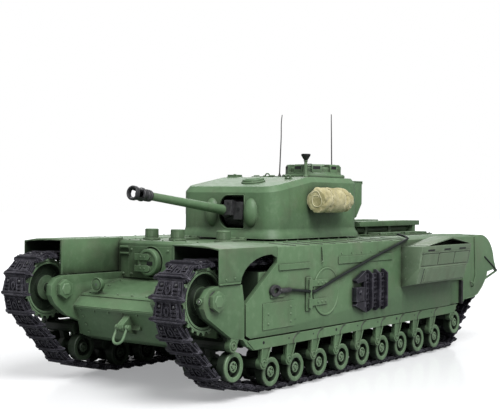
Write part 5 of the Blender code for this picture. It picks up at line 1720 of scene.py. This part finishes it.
def make_muzzle_brake(start):
    """A perforated brake: threaded collar, neck, cage with side ports and an open front ring."""
    end = start - 0.0192
    bore = 0.0019
    profile = [
        (start + 0.0002, bore),
        (start + 0.0002, 0.0036),
        (start - 0.0006, 0.0042),
        (start - 0.0020, 0.0043),
        (start - 0.0023, 0.0039),
        (start - 0.0027, 0.0039),
        (start - 0.0030, 0.0043),
        (start - 0.0042, 0.0043),
        (start - 0.0048, 0.0036),
        (start - 0.0072, 0.0036),
        (start - 0.0080, 0.0043),
        (start - 0.0086, 0.0049),
        (start - 0.0098, 0.0049),
        (start - 0.0102, 0.0045),
        (start - 0.0158, 0.0045),
        (start - 0.0162, 0.0052),
        (end + 0.0008, 0.0052),
        (end + 0.0001, 0.0048),
        (end + 0.0001, 0.0040),
        (end + 0.0008, 0.0036),
        (end + 0.0092, 0.0034),
        (end + 0.0100, bore),
    ]
    brake = turned("y", (0.0, TRUNNION.z), profile, 40, looped=True)
    port = block((-0.0080, end + 0.0036, TRUNNION.z - 0.0026), (0.0080, end + 0.0086, TRUNNION.z + 0.0026))
    brake = cut(brake, port)
    piece("muzzle_brake_body", raised_gun(brake), GUNMETAL, "gun", 0.00012, ("muzzle_brake",))


# ---------------------------------------------------------------- cupola
def periscope_block():
    """One vision block, facing +X from the cupola's centre."""
    base = ROOF_Z + 0.0040
    top = high("cupola").z
    body = [(0.0165, base), (0.0232, base), (0.0232, top - 0.0020), (0.0222, top - 0.0004), (0.0216, top), (0.0165, top)]
    return prism("y", -0.0041, 0.0041, body)


def periscope_glass():
    base = ROOF_Z + 0.0072
    return block((0.0226, -0.0030, base), (0.0233, 0.0030, base + 0.0024))


def round_cupola(solid, count=7):
    centre = Vector((middle("cupola").x, middle("cupola").y, 0.0))
    places = []
    for index in range(count):
        angle = math.radians(-90.0 - 120.0 + index * 40.0)
        places.append(Matrix.Translation(centre) @ Matrix.Rotation(angle, 4, "Z"))
    return repeated(solid, places)


def make_cupola():
    """A stepped base ring, drum and vision blocks."""
    box_low, box_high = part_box("cupola")
    centre = (middle("cupola").x, middle("cupola").y)
    base_radius = 0.5 * (box_high.x - box_low.x)
    base = box_low.z
    radius = 0.0215
    opening = 0.0150
    top = low("cupola_hatch").z - GAP
    profile = [
        (base, opening),
        (base, base_radius),
        (base + 0.0018, base_radius - 0.0001),
        (base + 0.0024, base_radius - 0.0008),
        (base + 0.0026, radius + 0.0022),
        (base + 0.0040, radius + 0.0018),
        (base + 0.0044, radius + 0.0012),
        (base + 0.0046, radius),
        (top - 0.0010, radius - 0.0002),
        (top - 0.0002, radius - 0.0010),
        (top, radius - 0.0018),
        (top, opening + 0.0016),
        (top - 0.0006, opening + 0.0010),
        (top - 0.0006, opening),
    ]
    ring = turned("z", centre, profile, 80, looped=True)
    bolts = []
    for index in range(16):
        angle = math.tau * (index + 0.5) / 16
        place = (centre[0] + 0.0250 * math.cos(angle), centre[1] + 0.0250 * math.sin(angle))
        bolts.append(hex_bolt("z", base + 0.0019, 0.0009, place, 0.0007))
    solid = together([ring, round_cupola(periscope_block()), *bolts])
    piece("cupola_ring", solid, GREEN, "turret", 0.00025, ("cupola",))
    piece("cupola_windows", round_cupola(periscope_glass()), BLACK, "turret")


def make_cupola_hatch():
    """A domed lid with a hinge, latch and handle."""
    base = low("cupola_hatch").z
    top = high("cupola_hatch").z
    x, y = middle("cupola").x, middle("cupola").y
    hinge = pivot("cupola_hatch_hinge")
    profile = [(base, 0.0), (base, 0.0160), (base + 0.0006, 0.0160), (base + 0.0010, 0.0156), (base + 0.0010, 0.0142),
               (base + 0.0014, 0.0138), (base + 0.0018, 0.0100), (base + 0.0020, 0.0)]
    parts = [turned("z", (x, y), profile, 64)]
    for side in (1, -1):
        arm = block((x + side * 0.0024 - 0.0011, y + 0.0090, base + 0.0006), (x + side * 0.0024 + 0.0011, hinge.y, base + 0.0022))
        parts.append(arm)
    parts.append(rod("x", x - 0.0046, x + 0.0046, (hinge.y, hinge.z), 0.0013, 20))
    grip = [(x - 0.0040, y - 0.0080, base + 0.0014), (x - 0.0036, y - 0.0080, top - 0.0006), (x + 0.0036, y - 0.0080, top - 0.0006),
            (x + 0.0040, y - 0.0080, base + 0.0014)]
    parts.append(cable(grip, 0.0005, 8))
    parts.append(turned("z", (x + 0.0078, y + 0.0020), [(base + 0.0014, 0.0022), (base + 0.0024, 0.0020),
                                                      (base + 0.0026, 0.0)], 24))
    piece("cupola_lid", together(parts), GREEN, "cupola_hatch", 0.00015, ("cupola_hatch",))


# ---------------------------------------------------------------- roof posts
def make_receiver_post():
    """A green stalk carrying a black mirror cone."""
    box_low, box_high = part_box("receiver_post")
    centre = (middle("receiver_post").x, middle("receiver_post").y)
    foot = box_low.z
    stalk = [(foot, 0.0), (foot, 0.0024), (foot + 0.0010, 0.0024), (foot + 0.0016, 0.0019), (foot + 0.0026, 0.0014),
             (foot + 0.0126, 0.0013), (foot + 0.0132, 0.0018), (foot + 0.0136, 0.0018), (foot + 0.0136, 0.0)]
    piece("receiver_stalk", turned("z", centre, stalk, 28), GREEN, "turret", replaces=("receiver_post",))
    radius = 0.5 * (box_high.x - box_low.x)
    top = box_high.z
    cone = [(foot + 0.0134, 0.0), (foot + 0.0134, 0.0012), (top - 0.0018, radius - 0.0002), (top - 0.0012, radius),
            (top - 0.0003, radius), (top, radius - 0.0004), (top, 0.0016), (top - 0.0008, 0.0)]
    piece("receiver_cone", turned("z", centre, cone, 32), BLACK, "turret")


def make_aerials():
    """Spring-footed whips; the left one leans a little near its tip."""
    for label, _ in SIDES:
        node = f"{label}_aerial"
        x, y = middle(node).x, middle(node).y
        foot, top = low(node).z, high(node).z
        base = turned("z", (x, y), [(foot, 0.0), (foot, 0.0024), (foot + 0.0008, 0.0024), (foot + 0.0012, 0.0015),
                                    (foot + 0.0030, 0.0013), (foot + 0.0034, 0.0009), (foot + 0.0044, 0.0008),
                                    (foot + 0.0044, 0.0)], 24)
        sway, hook = (-0.0010, 0.0) if label == "left" else (0.0022, 0.0006)
        line = along_curve([(x, y, foot + 0.0040), (x + 0.3 * sway, y, foot + 0.0200), (x + 0.6 * sway, y, foot + 0.0360),
                            (x + 0.9 * sway - hook, y, top - 0.0070), (x + sway, y, top - 0.0002)], 8)
        whip = cable(line, lambda share: 0.00058 - 0.00022 * share, 10)
        piece(f"{label}_whip", together([base, whip]), WIRE, "turret", replaces=(node,))


# ---------------------------------------------------------------- stowage bin and canvas roll
def make_bin_fittings():
    """Lid edge, hasps and hinge straps on the rear bin."""
    box_low, box_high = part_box("stowage_bin")
    top = box_high.z
    rear = box_high.y
    parts = [prism("x", box_low.x - 0.0004, box_high.x + 0.0004,
                   [(box_low.y + 0.0004, top - 0.0006), (box_low.y + 0.0004, top + 0.0002), (rear + 0.0004, top + 0.0002),
                    (rear + 0.0004, top - 0.0024), (rear - 0.0002, top - 0.0024), (rear - 0.0002, top - 0.0006)])]
    for x in (-0.0200, 0.0200):
        parts.append(block((x - 0.0018, rear - 0.0002, top - 0.0070), (x + 0.0018, rear + 0.0009, top - 0.0016)))
        parts.append(rod("x", x - 0.0022, x + 0.0022, (rear + 0.0006, top - 0.0050), 0.0007, 12))
        parts.append(block((x - 0.0016, box_low.y + 0.0006, top - 0.0002), (x + 0.0016, rear - 0.0030, top + 0.0006)))
    for x in (-0.0335, 0.0335):
        parts.append(prism("x", x - 0.0004, x + 0.0004, [(box_low.y, 0.1180), (box_low.y + 0.0040, 0.1186),
                                                        (rear - 0.0002, 0.1302), (rear - 0.0002, 0.1320),
                                                        (box_low.y + 0.0030, 0.1204), (box_low.y, 0.1200)]))
    piece("stowage_bin_fittings", together(parts), GREEN, "turret", 0.00015)


def roll_blank(centre, radii, start, end):
    """A smooth bolster, before the cloth settles on it."""
    sections = []
    steps = 30
    for index in range(steps + 1):
        share = index / steps
        y = start + (end - start) * share
        ends = min(1.0, 8.0 * min(share, 1.0 - share))
        swell = 0.84 + 0.10 * math.sqrt(max(ends, 0.0))
        pinch = 1.0 - 0.10 * math.exp(-((share - 0.30) / 0.030) ** 2) - 0.10 * math.exp(-((share - 0.74) / 0.030) ** 2)
        reach = swell * pinch
        ring = []
        for x, z in arc((0.0, 0.0), radii, 0.0, 360.0, 48)[:-1]:
            ring.append((centre[0] + reach * x, y, centre[1] + reach * z))
        sections.append(ring)
    return loft(sections)


def settle_cloth(item, scale):
    """Blows the bolster up a little as cloth, at a larger scale, so that it wrinkles."""
    for vert in item.data.vertices:
        vert.co *= scale
    remesh = item.modifiers.new("remesh", "REMESH")
    remesh.mode = "VOXEL"
    remesh.voxel_size = 0.0011 * scale
    apply_modifiers(item)
    group = item.vertex_groups.new(name="tied")
    length = high("canvas_roll").y - low("canvas_roll").y
    for vert in item.data.vertices:
        share = (vert.co.y / scale - low("canvas_roll").y) / length
        tied = min(abs(share - 0.30), abs(share - 0.74), share, 1.0 - share) < 0.022
        if tied:
            group.add([vert.index], 1.0, "REPLACE")
    cloth = item.modifiers.new("cloth", "CLOTH")
    settings = cloth.settings
    settings.vertex_group_mass = group.name
    settings.use_pressure = True
    settings.uniform_pressure_force = 3.0
    settings.shrink_min = -0.16
    settings.shrink_max = -0.16
    settings.quality = 5
    settings.effector_weights.gravity = 0.0
    settings.tension_stiffness = 15.0
    settings.compression_stiffness = 15.0
    settings.bending_stiffness = 0.05
    cloth.point_cache.frame_end = 24
    for step in range(1, 21):
        bpy.context.scene.frame_set(step)
    apply_modifiers(item)
    bpy.context.scene.frame_set(1)
    for vert in item.data.vertices:
        vert.co /= scale


def keep_inside(item, node, grown):
    """Draws any cloth that swelled past its node's box back to it."""
    box_low, box_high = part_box(node)
    centre = 0.5 * (box_low + box_high)
    half = 0.5 * (box_high - box_low) + Vector((grown, 0.0, grown))
    for vert in item.data.vertices:
        offset = vert.co - centre
        reach = math.hypot(offset.x / half.x, offset.z / half.z)
        if reach > 1.0:
            offset.x /= reach
            offset.z /= reach
        offset.y = max(-half.y, min(half.y, offset.y))
        vert.co = centre + offset


def rough_up(item, amount):
    """Adds creases too fine for the simulation."""
    for vert in item.data.vertices:
        place = vert.co * 125.0
        crease = 1.1 * abs(noise.noise(place)) - 0.34 + 0.55 * abs(noise.noise(place * 2.3))
        around = Vector((vert.co.x - middle("canvas_roll").x, 0.0, vert.co.z - middle("canvas_roll").z))
        if around.length > 0.0:
            vert.co += around.normalized() * crease * amount


def spiral_end(centre, radii, y, facing):
    """The rolled end of the canvas: a spiral ridge."""
    line = []
    turns = 1.3
    steps = 90
    for index in range(steps + 1):
        share = index / steps
        angle = math.tau * turns * share + 0.6
        reach = 0.34 + 0.46 * share
        wave = 1.0 + 0.34 * noise.noise(Vector((7.0 * share, 1.7, facing)))
        line.append((centre[0] + radii[0] * reach * wave * math.cos(angle), y,
                     centre[1] + radii[1] * reach * wave * math.sin(angle)))
    return cable(line, 0.00055, 8)


def make_canvas_roll():
    """A rolled sheet of canvas tied to the turret's side by two straps."""
    box_low, box_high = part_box("canvas_roll")
    centre = (middle("canvas_roll").x, middle("canvas_roll").z)
    radii = (0.5 * (box_high.x - box_low.x), 0.5 * (box_high.z - box_low.z))
    item = bare_object("canvas_roll_cloth", roll_blank(centre, radii, box_low.y + 0.0004, box_high.y - 0.0004))
    settle_cloth(item, 20.0)
    rough_up(item, 0.0040)
    keep_inside(item, "canvas_roll", 0.0006)
    item.data.materials.clear()
    item.data.materials.append(CANVAS)
    item.data.shade_smooth()
    smoother = item.modifiers.new("smooth", "SUBSURF")
    smoother.levels = 1
    smoother.render_levels = 1
    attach(item, "turret")
    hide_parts("canvas_roll")
    spirals = [spiral_end(centre, radii, box_low.y + 0.0006, 0.0), spiral_end(centre, radii, box_high.y - 0.0006, 1.0)]
    piece("canvas_roll_ends", together(spirals), CANVAS, "turret")
    length = box_high.y - box_low.y
    straps = []
    for share in (0.30, 0.74):
        y = box_low.y + share * length
        loop = arc(centre, (radii[0] * 0.91, radii[1] * 0.91), 0.0, 360.0, 48)[:-1]
        inner = arc(centre, (radii[0] * 0.82, radii[1] * 0.82), 0.0, 360.0, 48)[:-1]
        rings = [[(x, y - 0.0010, z) for x, z in inner], [(x, y - 0.0010, z) for x, z in loop],
                 [(x, y + 0.0010, z) for x, z in loop], [(x, y + 0.0010, z) for x, z in inner]]
        straps.append(loft(rings, looped=True))
        straps.append(block((TURRET_X - 0.0004, y - 0.0016, centre[1] - 0.0020), (TURRET_X + 0.0016, y + 0.0016, centre[1] + 0.0060)))
    piece("canvas_roll_straps", together(straps), CANVAS, "turret", 0.0001)


# ---------------------------------------------------------------- studio
def stage_material():
    """A pale floor that throws less light back up than it shows."""
    material, tree, shader = start_material("pale_floor")
    shade = noise_value(tree, 3.0)
    seen = new_node(tree, "LightPath").outputs["Is Camera Ray"]
    pale = mix_colours(tree, between(tree, shade, 0.3, 0.7), (0.93, 0.94, 0.95), (0.96, 0.96, 0.97))
    coat = mix_colours(tree, seen, (0.30, 0.31, 0.32), pale)
    finish_material(tree, shader, coat, between(tree, shade, 0.3, 0.7, 0.14, 0.18), bumped(tree, [(shade, 0.00001)]))
    shader.inputs["Emission Color"].default_value = (0.97, 0.98, 1.0, 1.0)
    away = new_node(tree, "VectorMath", {0: new_node(tree, "NewGeometry").outputs["Position"]}, operation="LENGTH")
    glow = between(tree, away.outputs["Value"], 0.30, 1.40, 0.30, 0.95)
    tree.links.new(maths(tree, "MULTIPLY", seen, glow), shader.inputs["Emission Strength"])
    return material


def make_floor():
    bm = bmesh.new()
    bmesh.ops.create_grid(bm, x_segments=1, y_segments=1, size=6.0)
    floor = bare_object("floor", bm)
    floor.data.materials.append(stage_material())


def aim(item, target):
    item.rotation_euler = (Vector(target) - item.location).to_track_quat("-Z", "Y").to_euler()


def area_light(name, place, size, power, colour=(1.0, 1.0, 1.0)):
    data = bpy.data.lights.new(name, "AREA")
    data.shape = "DISK"
    data.size = size
    data.energy = power
    data.color = colour
    lamp = bpy.data.objects.new(name, data)
    lamp.location = place
    bpy.context.scene.collection.objects.link(lamp)
    aim(lamp, (0.0, 0.0, 0.08))


def make_lights():
    area_light("key", (1.20, -0.75, 1.70), 1.4, 48.0)
    area_light("back", (-1.20, 1.60, 1.20), 1.2, 10.0)
    world = bpy.data.worlds.new("studio")
    world.use_nodes = True
    tree = world.node_tree
    seen = new_node(tree, "LightPath").outputs["Is Camera Ray"]
    strength = between(tree, seen, 0.0, 1.0, 0.42, 1.0)
    background = tree.nodes["Background"]
    background.inputs["Color"].default_value = (1.0, 1.0, 1.0, 1.0)
    tree.links.new(strength, background.inputs["Strength"])
    bpy.context.scene.world = world
    bpy.context.scene.view_settings.view_transform = "Standard"


def make_camera():
    """Low in front of the left side, looking along the tank, with the roll the picture has."""
    azimuth, elevation, roll = (math.radians(angle) for angle in (36.30, 0.313, 0.558))
    back = Vector((math.sin(azimuth) * math.cos(elevation), -math.cos(azimuth) * math.cos(elevation), math.sin(elevation)))
    level = Vector((math.cos(azimuth), math.sin(azimuth), 0.0))
    upright = back.cross(level)
    right = math.cos(roll) * level + math.sin(roll) * upright
    up = math.cos(roll) * upright - math.sin(roll) * level
    data = bpy.data.cameras.new("camera")
    data.lens = 74.69
    data.sensor_width = 36.0
    camera = bpy.data.objects.new("camera", data)
    camera.matrix_world = Matrix.Translation((0.4921, -0.7180, 0.1331)) @ Matrix((right, up, back)).transposed().to_4x4()
    bpy.context.scene.collection.objects.link(camera)
    bpy.context.scene.camera = camera


# ---------------------------------------------------------------- the whole tank
def build_hull():
    make_nose()
    make_tow_lug()
    make_shackle()
    make_headlamp()
    make_driver_plate()
    make_visor()
    make_hull_gun()
    make_periscopes()
    make_hull_roof()
    make_engine_deck()
    make_hull_rear()
    make_belly()
    make_tow_cable()
    make_spare_links()


def build_sides():
    make_wheels()
    make_tracks()
    for label, side in SIDES:
        make_frame_details(label, side)
        make_idler_nuts(label, side)
        make_side_details(label, side)
        make_rear_guard(label, side)
        make_mudguard_details(label, side)
        make_intake_details(label, side)


def build_turret():
    make_turret()
    make_roof_fittings()
    make_turret_sides()
    make_mantlet()
    make_muzzle_brake(make_barrel())
    make_cupola()
    make_cupola_hatch()
    make_receiver_post()
    make_aerials()
    make_bin_fittings()
    make_canvas_roll()


dress_carried_nodes()
build_hull()
build_sides()
build_turret()
make_floor()
make_lights()
make_camera()
